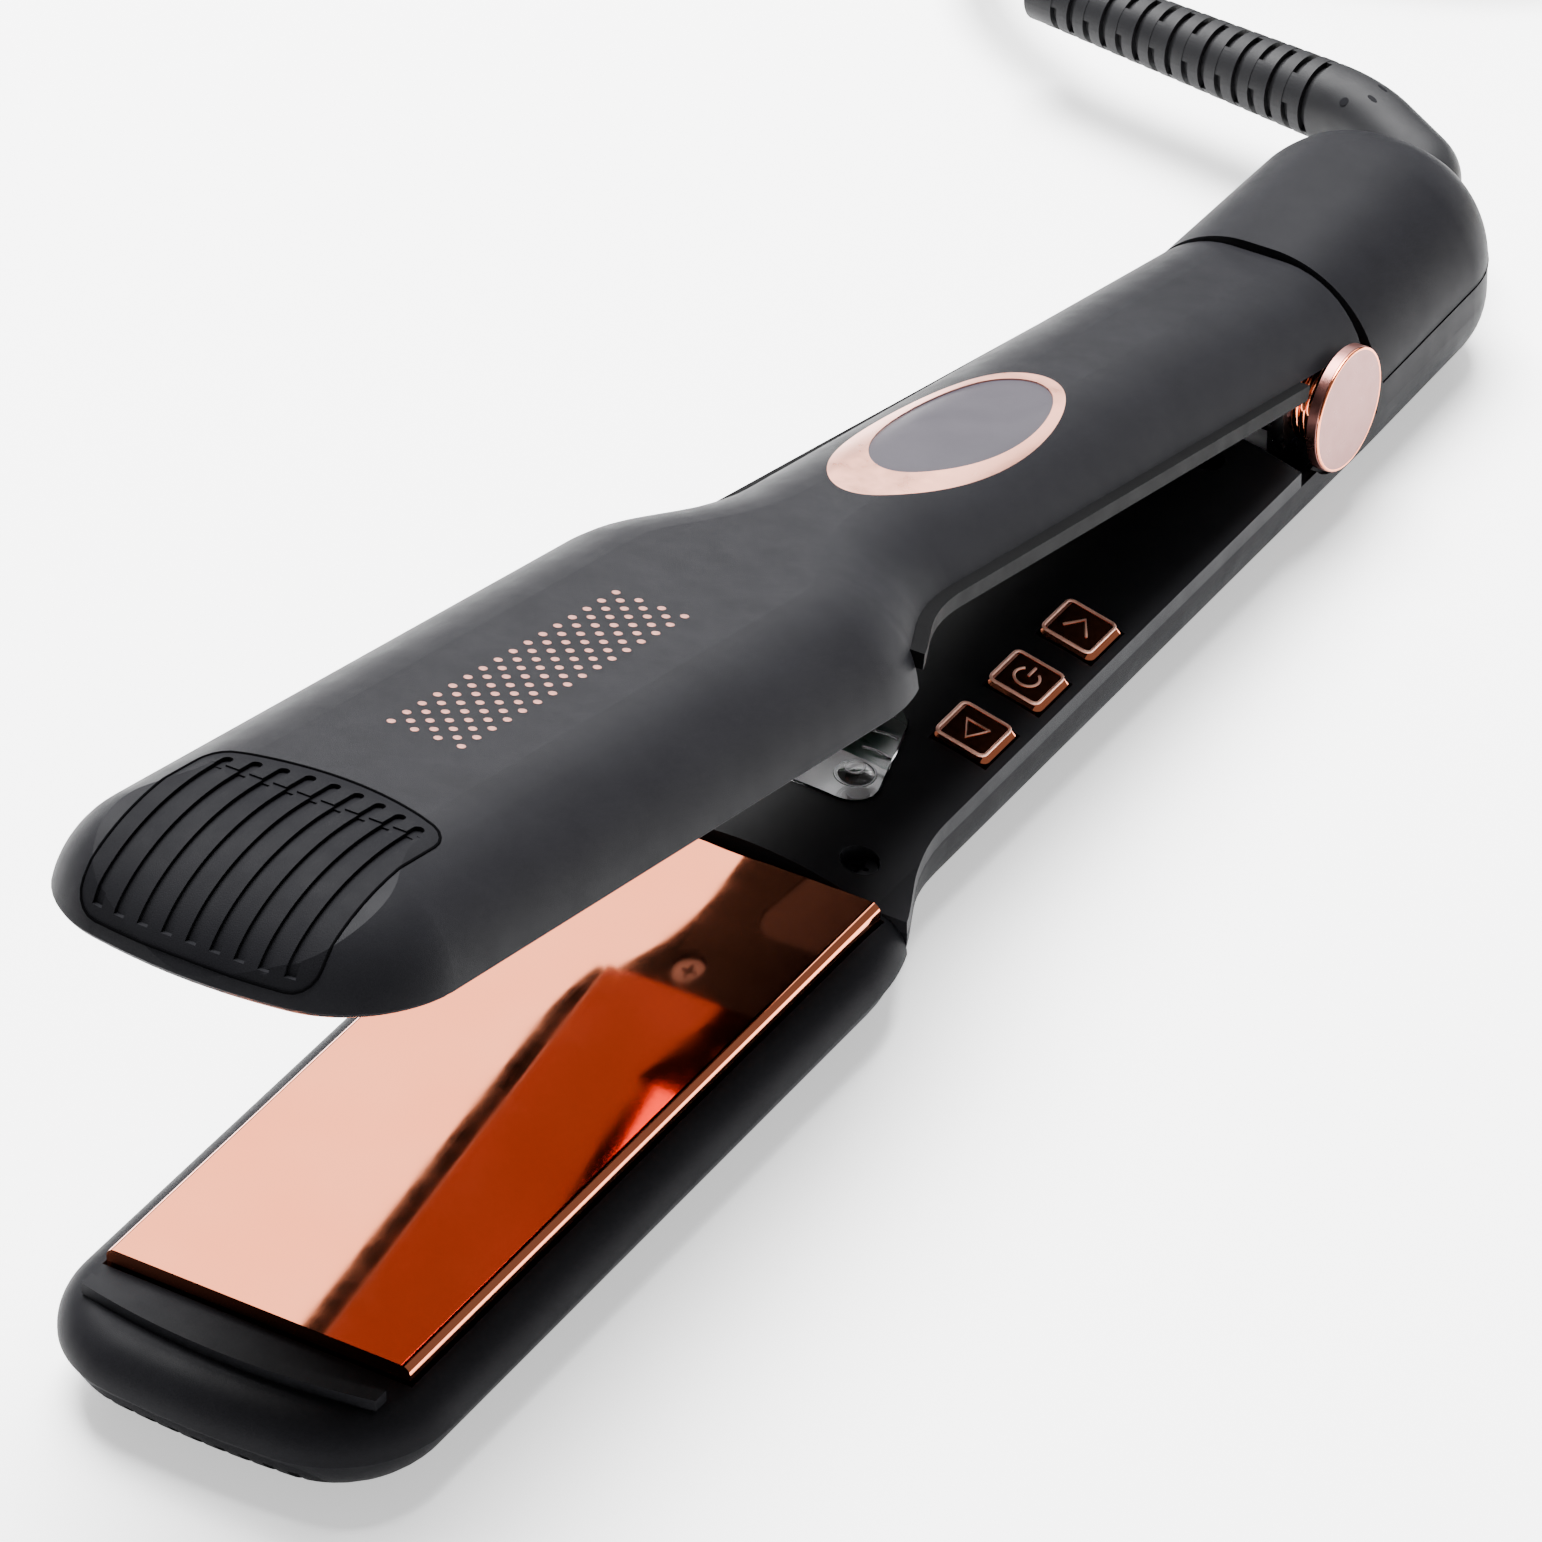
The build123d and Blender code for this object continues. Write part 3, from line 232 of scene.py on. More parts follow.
def clear_plastic():
    """The lens over the emitter."""
    m = Nodes("clear_plastic")
    m.set(Transmission_Weight=1.0, IOR=1.47)
    m.colour(m.noise(60.0, 2.0), ((0.90, 0.90, 0.92), (0.95, 0.95, 0.96)), 0.35, 0.65)
    m.roughen(150.0, 0.03, 0.08)
    return m.material


def tie_fabric():
    """The woven strap round the coil."""
    m = Nodes("tie_fabric")
    weave = m.cells(2600.0)
    m.colour(weave, ((0.006, 0.006, 0.006), (0.022, 0.022, 0.022)), 0.0, 0.6)
    m.roughen(500.0, 0.8, 0.95)
    m.bump(weave, 0.0002)
    m.set(Specular_IOR_Level=0.1, Sheen_Weight=0.06, Sheen_Roughness=0.6)
    return m.material


# The finish of each material slot.
FINISHES = {
    "soft_touch_shell": plastic(
        "soft_touch_shell",
        tints=((0.0070, 0.0070, 0.0082), (0.0088, 0.0088, 0.0102)),
        rough=(0.42, 0.50),
        grain=(9000.0, 0.00003),
        Specular_IOR_Level=0.03,
    ),
    "inner_plastic": plastic(
        "inner_plastic",
        tints=((0.0060, 0.0060, 0.0068), (0.0080, 0.0080, 0.0088)),
        rough=(0.36, 0.46),
        grain=(12000.0, 0.00002),
        Specular_IOR_Level=0.04,
    ),
    "nose_rubber": plastic(
        "nose_rubber",
        tints=((0.0050, 0.0050, 0.0060), (0.0065, 0.0065, 0.0075)),
        rough=(0.52, 0.64),
        grain=(7000.0, 0.00004),
        Specular_IOR_Level=0.02,
    ),
    "rose_mirror": rose_mirror("rose_mirror", ((0.95, 0.27, 0.13), (0.96, 0.29, 0.145))),
    "rose_satin": rose_satin("rose_satin", ((0.96, 0.43, 0.31), (0.97, 0.46, 0.34))),
    "smoked_glass": smoked_glass(),
    "clear_plastic": clear_plastic(),
    "blank_label": plastic(
        "blank_label",
        tints=((0.010, 0.010, 0.011), (0.013, 0.013, 0.014)),
        rough=(0.5, 0.6),
        grain=(6000.0, 0.00002),
        Specular_IOR_Level=0.05,
    ),
    "steel": metal("steel", ((0.50, 0.50, 0.51), (0.58, 0.58, 0.59)), (0.25, 0.38), 900.0),
    "black_steel": metal("black_steel", ((0.045, 0.045, 0.05), (0.07, 0.07, 0.075)), (0.3, 0.42)),
    "ceramic": plastic(
        "ceramic",
        tints=((0.70, 0.68, 0.63), (0.78, 0.76, 0.71)),
        rough=(0.45, 0.6),
        grain=(5000.0, 0.00003),
    ),
    "clamp_aluminium": metal(
        "clamp_aluminium", ((0.68, 0.68, 0.70), (0.76, 0.76, 0.78)), (0.28, 0.4), 700.0
    ),
    "silicone": plastic(
        "silicone",
        tints=((0.40, 0.05, 0.03), (0.48, 0.07, 0.04)),
        rough=(0.4, 0.55),
        grain=(5000.0, 0.00003),
        Subsurface_Weight=0.1,
    ),
    "board_green": plastic(
        "board_green",
        tints=((0.01, 0.10, 0.04), (0.015, 0.14, 0.055)),
        rough=(0.25, 0.4),
        grain=(4000.0, 0.00002),
        Coat_Weight=0.4,
        Coat_Roughness=0.2,
    ),
    "emitter_white": plastic(
        "emitter_white",
        tints=((0.72, 0.72, 0.71), (0.80, 0.80, 0.79)),
        rough=(0.35, 0.5),
        grain=(6000.0, 0.00002),
    ),
    "brass": metal("brass", ((0.72, 0.52, 0.22), (0.80, 0.60, 0.28)), (0.2, 0.34)),
    "bearing_plastic": plastic(
        "bearing_plastic",
        tints=((0.012, 0.012, 0.013), (0.016, 0.016, 0.017)),
        rough=(0.4, 0.5),
        grain=(6000.0, 0.00002),
    ),
    "boot_rubber": plastic(
        "boot_rubber",
        tints=((0.0075, 0.0075, 0.0085), (0.0100, 0.0100, 0.0110)),
        rough=(0.42, 0.54),
        grain=(8000.0, 0.00003),
        Specular_IOR_Level=0.12,
    ),
    "cord_jacket": plastic(
        "cord_jacket",
        tints=((0.0060, 0.0060, 0.0070), (0.0085, 0.0085, 0.0095)),
        rough=(0.42, 0.56),
        grain=(6000.0, 0.00003),
        Specular_IOR_Level=0.14,
    ),
    "tie_fabric": tie_fabric(),
    "plug_plastic": plastic(
        "plug_plastic",
        tints=((0.0075, 0.0075, 0.0085), (0.0100, 0.0100, 0.0110)),
        rough=(0.38, 0.5),
        grain=(7000.0, 0.00003),
        Specular_IOR_Level=0.14,
    ),
    "plug_brass": metal("plug_brass", ((0.70, 0.58, 0.36), (0.78, 0.66, 0.44)), (0.18, 0.3)),
}

PRINT_FINISH = plastic(
    "rose_print",
    tints=((0.30, 0.115, 0.085), (0.34, 0.135, 0.100)),
    rough=(0.34, 0.44),
    grain=(3000.0, 0.00001),
    Metallic=0.3,
)
# Painted shade: a near-black finish with no reflection, for the thin lines that stand in for the shade
# inside the grip's groove and the barrel's seam.
SEAM_PAINTED_SHADE = plastic(
    "seam_shadow",
    tints=((0.0012, 0.0012, 0.0014), (0.0018, 0.0018, 0.0020)),
    rough=(0.6, 0.7),
    grain=(6000.0, 0.00001),
    Specular_IOR_Level=0.0,
)
# The key marks and rims are real rose-gold marks. Their finish is painted light: paler and less
# metallic than the rose satin, standing in for their bright reflection.
KEY_MARK_PAINTED_LIGHT = plastic(
    "rose_key_mark_painted_light",
    tints=((0.95, 0.50, 0.38), (0.97, 0.54, 0.42)),
    rough=(0.34, 0.44),
    grain=(3000.0, 0.00001),
    Metallic=0.35,
)
# Painted shade: a darker copy of the inner plastic, for the upper arm's inner housing and plate frame.
PAINTED_SHADE_PLASTIC = plastic(
    "inner_plastic_painted_shade",
    tints=((0.0014, 0.0014, 0.0016), (0.0020, 0.0020, 0.0022)),
    rough=(0.42, 0.52),
    grain=(12000.0, 0.00002),
    Specular_IOR_Level=0.02,
)

# Nodes with painted shade or painted light: darker or lighter copies of their slot's plain finish.
PAINTED_LIGHT_AND_SHADE_FINISHES = {
    # Painted shade: the upper plate's mirror is a much darker copy of the rose mirror that the lower
    # plate keeps.
    "upper_plate": rose_mirror("rose_mirror_painted_shade", ((0.056, 0.016, 0.009), (0.064, 0.018, 0.011))),
    # Painted shade on the upper arm's inner housing and plate frame.
    "upper_inner_housing": PAINTED_SHADE_PLASTIC,
    "upper_plate_frame": PAINTED_SHADE_PLASTIC,
    # Painted light: a lighter copy of the inner plastic, for the lower arm's inner housing.
    "lower_inner_housing": plastic(
        "inner_plastic_painted_light",
        tints=((0.011, 0.011, 0.013), (0.014, 0.014, 0.016)),
        rough=(0.36, 0.46),
        grain=(12000.0, 0.00002),
        Specular_IOR_Level=0.06,
    ),
    # Painted shade: a darker copy of the rose satin, for the right hinge cap.
    "hinge_cap_right": rose_satin("rose_satin_painted_shade", ((0.21, 0.088, 0.076), (0.24, 0.102, 0.090))),
}


def finish_nodes():
    """Every CAD node gets its painted-shade or painted-light finish, where it has one, or else the one
    of the slot that the record gives it.
    """
    for row in frame["record"]["subparts"]:
        node = bpy.data.objects[row["node"]]
        for place in node.material_slots:
            place.material = PAINTED_LIGHT_AND_SHADE_FINISHES.get(row["node"], FINISHES[row["material_slot"]])


finish_nodes()


# ---------------------------------------------------------------- helpers for added pieces

# From here on, lengths are in millimetres, except for the cord, the floor and the lights.
HINGE_Y = 97.5
HINGE_Z = 18.0
OPEN_ANGLE = math.radians(12.8)
RAY_START = 40.0


def opened(x, y, z):
    """A point of the closed upper arm, where it stands with the arm swung open."""
    along = y - HINGE_Y
    high = z - HINGE_Z
    open_y = along * math.cos(OPEN_ANGLE) + high * math.sin(OPEN_ANGLE) + HINGE_Y
    open_z = high * math.cos(OPEN_ANGLE) - along * math.sin(OPEN_ANGLE) + HINGE_Z
    return Vector((x, open_y, open_z))


def opened_direction(direction):
    """A direction on the closed upper arm, turned with the arm as it swings open."""
    return opened(*direction) - opened(0, 0, 0)


class Surface:
    """The outside of one CAD node, to set small pieces on."""

    def __init__(self, node):
        mesh = bpy.data.objects[node].data
        corners = [corner.co / MM for corner in mesh.vertices]
        self.tree = BVHTree.FromPolygons(corners, [tuple(face.vertices) for face in mesh.polygons])

    def under(self, point, down):
        """Where a ray from well above a point meets the surface, and which way is outward there."""
        down = Vector(down)
        place, outward, _, _ = self.tree.ray_cast(Vector(point) - down * RAY_START, down)
        return place, outward


def add_mesh(name, shape, body, slot, smooth=True, finish=None):
    """A mesh riding on a body, with the finish of a material slot or one of its own."""
    corners, faces = shape
    mesh = bpy.data.meshes.new(name)
    mesh.from_pydata([Vector(corner) * MM for corner in corners], [], faces)
    mesh.update()
    if smooth:
        mesh.shade_smooth()
    piece = bpy.data.objects.new(name, mesh)
    bpy.context.collection.objects.link(piece)
    mesh.materials.append(finish or FINISHES[slot])
    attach(piece, body)


def tube(path, radius, sides=8, closed=False):
    """Corners and faces of a round tube along a list of points."""
    corners = []
    faces = []
    last = len(path) - 1
    for index, point in enumerate(path):
        before = path[index - 1] if closed or index > 0 else point
        after = path[(index + 1) % len(path)] if closed or index < last else point
        ahead = (after - before).normalized()
        side = ahead.orthogonal() if index == 0 else (side - ahead * side.dot(ahead))
        side = side.normalized()
        other = ahead.cross(side)
        for step in range(sides):
            turn = 2 * math.pi * step / sides
            corners.append(point + side * math.cos(turn) * radius + other * math.sin(turn) * radius)
    for index in range(len(path) if closed else last):
        near = index * sides
        far = (index + 1) % len(path) * sides
        for step in range(sides):
            beside = (step + 1) % sides
            faces.append((near + step, near + beside, far + beside, far + step))
    if not closed:
        faces.append(tuple(reversed(range(sides))))
        faces.append(tuple(range(last * sides, (last + 1) * sides)))
    return corners, faces


def join(shapes):
    """Several corner and face lists as one."""
    corners = []
    faces = []
    for more_corners, more_faces in shapes:
        start = len(corners)
        corners += more_corners
        faces += [tuple(start + index for index in face) for face in more_faces]
    return corners, faces


def disc(centre, outward, radius, thick, steps=20, stretch=1.0, along=None):
    """A flat round or oval button with a thin rounded edge, standing on a surface."""
    outward = Vector(outward).normalized()
    side = Vector(along) if along else outward.orthogonal()
    side = (side - outward * side.dot(outward)).normalized()
    other = outward.cross(side)
    corners = []
    faces = []
    for share, height in ((1.0, -0.5), (1.0, 0.6), (0.85, 1.0)):
        for step in range(steps):
            turn = 2 * math.pi * step / steps
            across = side * math.cos(turn) * radius * stretch + other * math.sin(turn) * radius
            corners.append(centre + across * share + outward * thick * height)
    for ring in range(2):
        low = ring * steps
        high = low + steps
        for step in range(steps):
            beside = (step + 1) % steps
            faces.append((low + step, low + beside, high + beside, high + step))
    faces.append(tuple(range(2 * steps, 3 * steps)))
    return corners, faces


def ring_path(centre, axis, radius, steps=48):
    """A circle of points about an axis."""
    side = Vector(axis).orthogonal().normalized()
    other = Vector(axis).normalized().cross(side)
    turns = [2 * math.pi * step / steps for step in range(steps)]
    return [Vector(centre) + side * math.cos(t) * radius + other * math.sin(t) * radius for t in turns]


# ---------------------------------------------------------------- cord

# In metres. The coil is wound in three lanes and three layers, and its last turn lies over them.
CORD_DIAMETER = 0.0065
COIL_CENTRE = (-0.059, 0.275)
LANE_OUTER = 0.0455
LANE_MIDDLE = 0.039
LANE_INNER = 0.0325
LAYERS = (0.00325, 0.00975, 0.01625)
OVER_COIL = 0.0232
STEPS_A_TURN = 12
# How much wider the control points lie than the line that they draw.
CUT_IN = 1.035

# The winding, as (degrees turned, radius, height) at each change of lane.
COIL_LANES = [
    (0, LANE_OUTER, LAYERS[0]),
    (270, LANE_OUTER, LAYERS[0]),
    (330, LANE_MIDDLE, LAYERS[0]),
    (630, LANE_MIDDLE, LAYERS[0]),
    (690, LANE_INNER, LAYERS[0]),
    (920, LANE_INNER, LAYERS[0]),
    (980, LANE_INNER, LAYERS[1]),
    (1220, LANE_INNER, LAYERS[1]),
    (1280, LANE_MIDDLE, LAYERS[1]),
    (1580, LANE_MIDDLE, LAYERS[1]),
    (1640, LANE_OUTER, LAYERS[1]),
    (1880, LANE_OUTER, LAYERS[1]),
    (1940, LANE_OUTER, LAYERS[2]),
    (2180, LANE_OUTER, LAYERS[2]),
    (2240, LANE_MIDDLE, LAYERS[2]),
    (2540, LANE_MIDDLE, LAYERS[2]),
    (2600, LANE_INNER, LAYERS[2]),
    (2820, LANE_INNER, LAYERS[2]),
    (2880, LANE_INNER, OVER_COIL),
    (3030, LANE_OUTER, OVER_COIL),
]
LEAD_OUT = [
    (-0.024912, 0.168107, 0.016635),
    (-0.104088, 0.174500, 0.015086),
    (-0.104500, 0.254000, 0.003250),
]
LEAD_IN = [
    (-0.0105, 0.2787, 0.0190),
    (-0.0030, 0.2625, 0.0080),
    (0.0017, 0.2525, 0.0080),
    (0.0038, 0.2480, 0.0080),
]


def coil_points():
    """The coil's turns, worked out from the lanes, clockwise seen from above."""
    points = []
    step_angle = 360 / STEPS_A_TURN
    for step in range(int(COIL_LANES[-1][0] / step_angle) + 1):
        angle = step * step_angle
        after = next(index for index, lane in enumerate(COIL_LANES) if lane[0] >= angle)
        end = COIL_LANES[after]
        start = COIL_LANES[max(after - 1, 0)]
        share = (angle - start[0]) / (end[0] - start[0]) if end[0] > start[0] else 0.0
        radius = (start[1] + (end[1] - start[1]) * share) * CUT_IN
        height = start[2] + (end[2] - start[2]) * share
        turned = math.radians(angle)
        x = COIL_CENTRE[0] - radius * math.cos(turned)
        y = COIL_CENTRE[1] + radius * math.sin(turned)
        points.append((x, y, height))
    return points


def add_cord():
    """One length of mains cord, from inside the boot to the plug, wound into its put-away coil."""
    points = LEAD_OUT + coil_points() + LEAD_IN
    line = bpy.data.curves.new("mains_cord", "CURVE")
    line.dimensions = "3D"
    line.bevel_depth = CORD_DIAMETER / 2
    line.bevel_resolution = 4
    line.resolution_u = 14
    line.use_fill_caps = True
    spline = line.splines.new("NURBS")
    spline.points.add(len(points) - 1)
    for control, place in zip(spline.points, points):
        control.co = (*place, 1.0)
    spline.order_u = 3
    spline.use_endpoint_u = True
    line.materials.append(FINISHES["cord_jacket"])
    cord = bpy.data.objects.new("mains_cord", line)
    bpy.context.collection.objects.link(cord)
    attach(cord, "cord_swivel")
    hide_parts("power_cord", "cord_coil", "plug_lead")


add_cord()


# ---------------------------------------------------------------- print and key marks

DOT_ROWS = 7
DOT_COLUMNS = 31
DOT_PITCH = 1.68
DOT_REAR_Y = -54.0
DOT_RADIUS = 0.56
DOT_THICK = 0.04
ABOVE_SHELL = 45.0

KEY_TILT = math.radians(14.0)
KEY_X = 13.4
ABOVE_KEY = 17.0
KEY_YS = {"key_down": 8.6, "key_power": 22.2, "key_up": 35.8}
KEY_RIM_HALF = 2.9
KEY_RIM_CORNER = 0.85
KEY_RIM_THICK = 0.24
KEY_MARK_THICK = 0.2


def add_dot_print():
    """A plain, even pattern of rose-gold dots printed along the middle of the upper head."""
    shell = Surface("upper_outer_shell")
    down = -opened_direction((0, 0, 1))
    shapes = []
    for column in range(DOT_COLUMNS):
        for row in range(DOT_ROWS):
            if (column + row) % 2:
                continue
            x = (row - (DOT_ROWS - 1) / 2) * DOT_PITCH
            spot = opened(x, DOT_REAR_Y - column * DOT_PITCH, ABOVE_SHELL)
            place, outward = shell.under(spot, down)
            shapes.append(disc(place, outward, DOT_RADIUS, DOT_THICK, steps=14))
    add_mesh("dot_print", join(shapes), "upper_arm", "rose_satin", finish=PRINT_FINISH)


def on_key(surface, key_y, across, along):
    """A point on a key's face, so far across and along from its middle."""
    down = (-math.sin(KEY_TILT), 0, -math.cos(KEY_TILT))
    level = Vector((math.cos(KEY_TILT), 0, -math.sin(KEY_TILT)))
    middle = surface.under((KEY_X, key_y, ABOVE_KEY), down)[0]
    return middle + level * across + Vector((0, along, 0))


def arc_points(radius, start, end, steps):
    """Points of an arc, in degrees from straight ahead, as (across, along)."""
    turns = [math.radians(start + (end - start) * step / steps) for step in range(steps + 1)]
    return [(radius * math.sin(turn), radius * math.cos(turn)) for turn in turns]


def key_rim(surface, key_y):
    """The polished rounded edge round a key's face, with a painted-light finish that stands in for its
    bright reflection.
    """
    path = []
    for quarter in range(4):
        for step in range(5):
            turn = math.radians(90 * quarter + 22.5 * step)
            side_x = 1 if quarter in (0, 3) else -1
            side_y = 1 if quarter in (0, 1) else -1
            across = side_x * KEY_RIM_HALF + KEY_RIM_CORNER * math.cos(turn)
            along = side_y * KEY_RIM_HALF + KEY_RIM_CORNER * math.sin(turn)
            path.append(on_key(surface, key_y, across, along))
    return tube(path, KEY_RIM_THICK, closed=True)


def add_key_marks():
    """The raised marks on the keys: a triangle for down, the power sign, and a chevron for up."""
    marks = {
        "key_down": [([(0.0, -2.1), (1.75, 1.1), (-1.75, 1.1)], True)],
        "key_power": [(arc_points(1.75, 40, 320, 24), False), ([(0.0, 0.4), (0.0, 2.3)], False)],
        "key_up": [([(-1.8, -1.2), (0.0, 1.7), (1.8, -1.2)], False)],
    }
    for key, strokes in marks.items():
        surface = Surface(key)
        shapes = []
        for spots, closed in strokes:
            path = [on_key(surface, KEY_YS[key], across, along) for across, along in spots]
            shapes.append(tube(path, KEY_MARK_THICK, closed=closed))
        shapes.append(key_rim(surface, KEY_YS[key]))
        # Marks and rim take the painted-light rose finish.
        add_mesh(key + "_mark", join(shapes), key, "rose_satin", finish=KEY_MARK_PAINTED_LIGHT)


add_dot_print()
add_key_marks()


# ---------------------------------------------------------------- lens

LENS_EYE_X = 5.6
LENS_EYE_Y = -8.5
LENS_LEDGE_Z = 14.5
# Each eye's moulded rings, as (radius, thickness).
LENS_RINGS = ((1.3, 0.16), (2.7, 0.2))
# The ridges behind each eye, as (radius, first degree, last degree).
LENS_RIDGES = ((5.6, 35, 112), (9.4, 62, 108))
LENS_RIDGE_THICK = 0.22


def add_lens_rings():
    """The moulded rings of the two bull's eyes and the ridges of the lens behind them."""
    lens = Surface("clear_lens")
    down = (0, 0, -1)
    shapes = []
    for side in (1, -1):
        centre = Vector((LENS_EYE_X * side, LENS_EYE_Y, 0))
        for radius, thick in LENS_RINGS:
            path = []
            for step in range(28):
                turn = 2 * math.pi * step / 28
                spot = centre + Vector((math.cos(turn), math.sin(turn), 0)) * radius
                path.append(lens.under(spot, down)[0])
            shapes.append(tube(path, thick, closed=True))
        for radius, first, last in LENS_RIDGES:
            path = []
            for step in range(17):
                turn = math.radians(first + (last - first) * step / 16)
                spot = centre + Vector((side * math.cos(turn), math.sin(turn), 0)) * radius
                place = lens.under(spot, down)[0]
                if place is not None and place.z > LENS_LEDGE_Z:
                    path.append(place)
            if len(path) > 3:
                shapes.append(tube(path, LENS_RIDGE_THICK))
    add_mesh("lens_rings", join(shapes), "lower_arm", "clear_plastic")


add_lens_rings()


# ---------------------------------------------------------------- hinge cap, grip rim and barrel seam

CAP_RIM_X = 19.78
CAP_RIM_RADIUS = 8.72
CAP_RIM_THICK = 0.27
# The steps of the cap's neck, as (x, radius).
CAP_NECKS = ((17.3, 6.6), (15.9, 5.6), (14.6, 5.3))
CAP_NECK_THICK = 0.7

# The upper nose grip's edge, arm closed. Rays from the heart of the nose find where its sides run.
GRIP_SIDE = 16.85
GRIP_REAR = -121.55
GRIP_BOW = 4.1
GRIP_LOW = 19.35
GRIP_CORNER = 3.5
GRIP_REAR_CORNER_LONG = 3.7
GRIP_REAR_CORNER_Y = -124.25
GRIP_HEART_Y = -134.0
GRIP_HEART_Z = 25.0
GRIP_FIRST_RAY = -35.0
GRIP_RAY_STEP = 5.25
GRIP_RIM_THICK = 0.2

SEAM_X = 10.0
SEAM_Z = 15.62
SEAM_FRONT_Y = 109.0
SEAM_STEP = 2.4
BARREL_END_Y = 136.5
SEAM_THICK = 0.13


def add_cap_rim():
    """The polished rim round the right hinge cap, and its stepped neck."""
    axis = (1, 0, 0)
    path = ring_path((CAP_RIM_X, HINGE_Y, HINGE_Z), axis, CAP_RIM_RADIUS)
    add_mesh("cap_rim", tube(path, CAP_RIM_THICK, sides=10, closed=True), "lower_arm", "rose_mirror")
    necks = []
    for neck_x, radius in CAP_NECKS:
        path = ring_path((neck_x, HINGE_Y, HINGE_Z), axis, radius)
        necks.append(tube(path, CAP_NECK_THICK, sides=12, closed=True))
    add_mesh("cap_neck", join(necks), "lower_arm", "rose_mirror")


def grip_half_outline():
    """The right half of the grip's edge, from its middle at the rear to its middle at the low front.

    Each entry is a place inside the nose, and the direction in which the surface is met from there.
    """
    spots = []
    up = Vector((0, 0, 1))
    ahead = Vector((0, -1, 0))
    flat = GRIP_SIDE - GRIP_CORNER
    for step in range(11):
        x = flat * step / 10
        y = GRIP_REAR - GRIP_BOW * (x / GRIP_SIDE) ** 2
        spots.append((Vector((x, y, GRIP_HEART_Z)), up))
    for step in range(1, 6):
        turn = math.radians(18 * step)
        x = flat + GRIP_CORNER * math.sin(turn)
        y = GRIP_REAR_CORNER_Y - GRIP_REAR_CORNER_LONG * (1 - math.cos(turn))
        spots.append((Vector((x, y, GRIP_HEART_Z)), up))
    for step in range(1, 25):
        turn = math.radians(GRIP_FIRST_RAY + GRIP_RAY_STEP * step)
        out = Vector((0, -math.sin(turn), math.cos(turn)))
        spots.append((Vector((GRIP_SIDE, GRIP_HEART_Y, GRIP_HEART_Z)), out))
    for step in range(6):
        turn = math.radians(18 * step)
        x = flat + GRIP_CORNER * math.cos(turn)
        z = GRIP_LOW + GRIP_CORNER - GRIP_CORNER * math.sin(turn)
        spots.append((Vector((x, GRIP_HEART_Y, z)), ahead))
    for step in range(1, 11):
        spots.append((Vector((flat - flat * step / 10, GRIP_HEART_Y, GRIP_LOW)), ahead))
    return spots


def grip_outline():
    """All the way round the grip's edge: the right half, and its mirror image back to the start."""
    half = grip_half_outline()
    mirrored = []
    for place, out in half[1:-1]:
        mirrored.append((Vector((-place.x, place.y, place.z)), Vector((-out.x, out.y, out.z))))
    return half + list(reversed(mirrored))


def add_grip_rim():
    """A fine near-black line round the upper nose grip: painted shade for the groove that runs round
    it.
    """
    surfaces = [Surface("upper_nose_grip"), Surface("upper_outer_shell")]
    path = []
    for place, out in grip_outline():
        start = opened(*place)
        towards = opened_direction(out)
        hits = [surface.under(start, -towards)[0] for surface in surfaces]
        hits = [hit for hit in hits if hit is not None and (hit - start).dot(towards) > 0]
        if hits:
            path.append(max(hits, key=lambda hit: (hit - start).dot(towards)))
    rim = tube(path, GRIP_RIM_THICK, closed=True)
    add_mesh("upper_grip_rim", rim, "upper_arm", "nose_rubber", finish=SEAM_PAINTED_SHADE)


def add_barrel_seam():
    """A fine near-black line where the barrel's cover meets the lower shell, on each side: painted
    shade for the seam.
    """
    shell = Surface("barrel_cover")
    shapes = []
    for side in (1, -1):
        path = []
        for step in range(12):
            spot = (side * SEAM_X, SEAM_FRONT_Y + SEAM_STEP * step, SEAM_Z)
            path.append(shell.under(spot, (-side, 0, 0))[0])
        for step in range(10):
            turn = math.radians(6.0 * step)
            inwards = (-side * math.cos(turn), -math.sin(turn), 0)
            path.append(shell.under((0, BARREL_END_Y, SEAM_Z), inwards)[0])
        shapes.append(tube(path, SEAM_THICK))
    add_mesh("barrel_seam", join(shapes), "lower_arm", "soft_touch_shell", finish=SEAM_PAINTED_SHADE)


add_cap_rim()
add_grip_rim()
add_barrel_seam()


# ---------------------------------------------------------------- boot

BOOT_ALONG = Vector((-46.0, 6.6, -0.9)).normalized()
BOOT_ELBOW = Vector((-16.5, 166.9, 16.8))
RIBS_START = BOOT_ELBOW + BOOT_ALONG * 6.0
RIB_COUNT = 16
RIB_PITCH = 3.1
RIB_WIDTH = 1.9
BOOT_RADIUS = 5.8
BOOT_TIP_RADIUS = 4.7
BRIDGE_SUNK = 0.12
BRIDGE_DEPTH = 1.6
BRIDGE_LAP = 0.2
BRIDGE_TURN = 35
BRIDGE_HALF_ANGLE = 24

# The hole and the two slots in the boot's collar, as (place, radius, stretch).
BOOT_HOLES = (
    ((-17.0, 162.4, 21.2), 0.75, 1.0),
    ((-12.9, 163.4, 22.4), 0.36, 3.2),
    ((-13.2, 167.0, 22.1), 0.36, 3.2),
)
HOLES_FACE = Vector((-0.25, -0.45, 0.86)).normalized()
SLOTS_ALONG = (-0.86, 0.5, 0)
HOLE_THICK = 0.03


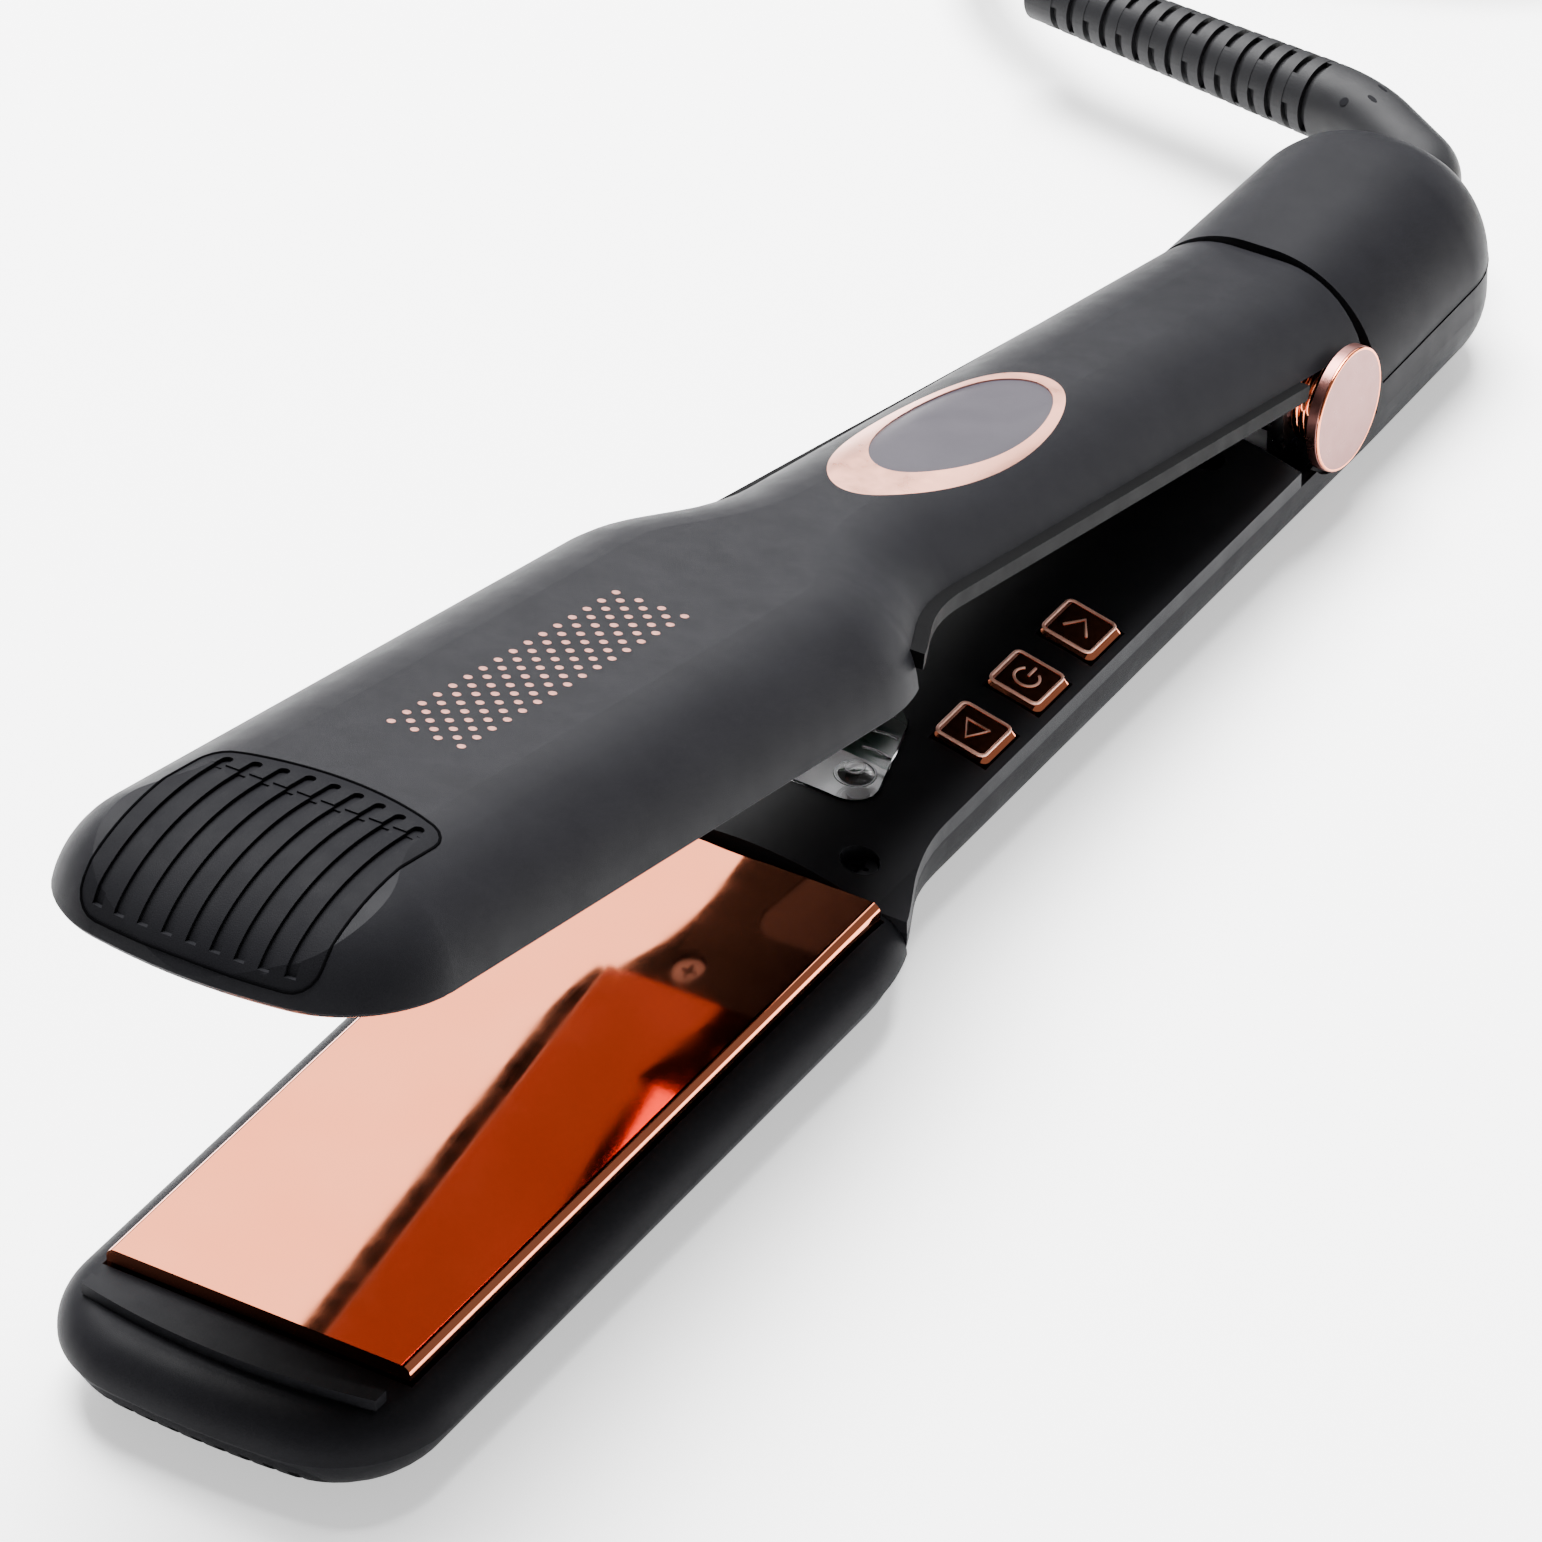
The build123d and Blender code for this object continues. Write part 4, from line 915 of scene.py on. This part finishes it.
def ring_sector(centre, axis, up, radii, thick, middle, half, steps=8):
    """A block that fills part of a round groove, between two radii, about a middle angle."""
    inner, outer = radii
    other = axis.cross(up)
    corners = []
    faces = []
    for step in range(steps + 1):
        turn = math.radians(middle - half + 2 * half * step / steps)
        out = up * math.cos(turn) + other * math.sin(turn)
        for along, radius in ((0, inner), (0, outer), (thick, outer), (thick, inner)):
            corners.append(centre + axis * along + out * radius)
    for step in range(steps):
        near = 4 * step
        far = near + 4
        for side in range(4):
            beside = (side + 1) % 4
            faces.append((near + side, near + beside, far + beside, far + side))
    faces.append((3, 2, 1, 0))
    faces.append(tuple(4 * steps + side for side in range(4)))
    return corners, faces


def add_boot_bridges():
    """The short bridges that tie the boot's ribs together, turned a quarter from groove to groove."""
    up = (Vector((0, 0, 1)) - BOOT_ALONG * BOOT_ALONG.z).normalized()
    thick = RIB_PITCH - RIB_WIDTH + 2 * BRIDGE_LAP
    shapes = []
    for rib in range(RIB_COUNT):
        outer = BOOT_RADIUS - (BOOT_RADIUS - BOOT_TIP_RADIUS) * (rib - 0.5) / RIB_COUNT - BRIDGE_SUNK
        radii = (outer - BRIDGE_DEPTH, outer)
        centre = RIBS_START + BOOT_ALONG * (rib * RIB_PITCH - BRIDGE_LAP)
        for half_turn in (0, 180):
            middle = BRIDGE_TURN + 90 * (rib % 2) + half_turn
            shapes.append(ring_sector(centre, BOOT_ALONG, up, radii, thick, middle, BRIDGE_HALF_ANGLE))
    add_mesh("boot_bridges", join(shapes), "cord_swivel", "boot_rubber", smooth=False)


def add_boot_holes():
    """Dark discs on the boot's smooth collar for its small round hole and slots: painted shade where
    the moulded holes are.
    """
    boot = Surface("cord_boot")
    shapes = []
    for spot, radius, stretch in BOOT_HOLES:
        place, outward = boot.under(spot, -HOLES_FACE)
        shapes.append(disc(place, outward, radius, HOLE_THICK, stretch=stretch, along=SLOTS_ALONG))
    add_mesh("boot_holes", join(shapes), "cord_swivel", "nose_rubber")


add_boot_bridges()
add_boot_holes()


# ---------------------------------------------------------------- floor and light

FLOOR_SIZE = 6.0
FLOOR_Z = -0.0003
WORLD_STRENGTH = 0.25


def add_floor():
    """A plain white floor that glows a little, so that it stays pale far from the lamps."""
    bpy.ops.mesh.primitive_plane_add(size=FLOOR_SIZE, location=(0.0, 0.0, FLOOR_Z))
    floor = bpy.context.object
    floor.name = "floor"
    m = Nodes("floor_white")
    m.colour(m.noise(3.0, 2.0), ((0.90, 0.90, 0.905), (0.91, 0.91, 0.912)))
    m.set(Roughness=0.9, Emission_Color=(1.0, 1.0, 1.0, 1.0), Emission_Strength=0.8)
    floor.data.materials.append(m.material)


def add_area(name, place, aim, size, power):
    """A soft rectangular lamp, in metres and watts, turned towards a point."""
    data = bpy.data.lights.new(name, "AREA")
    data.shape = "RECTANGLE"
    data.size, data.size_y = size
    data.energy = power
    lamp = bpy.data.objects.new(name, data)
    place = Vector(place)
    turn = (Vector(aim) - place).to_track_quat("-Z", "Y").to_matrix().to_4x4()
    lamp.matrix_world = Matrix.Translation(place) @ turn
    bpy.context.collection.objects.link(lamp)


def add_world():
    """An even white surround."""
    world = bpy.data.worlds.new("studio")
    bpy.context.scene.world = world
    world.use_nodes = True
    back = world.node_tree.nodes["Background"]
    back.inputs["Color"].default_value = (1.0, 1.0, 1.0, 1.0)
    back.inputs["Strength"].default_value = WORLD_STRENGTH


add_floor()
add_world()
add_area("overhead", place=(-0.40, 0.45, 1.50), aim=(0.0, 0.0, 0.0), size=(1.1, 1.1), power=190.0)
add_area("plate_card", place=(-0.72, 1.05, 0.98), aim=(0.0, -0.08, 0.0), size=(1.8, 1.3), power=24.0)
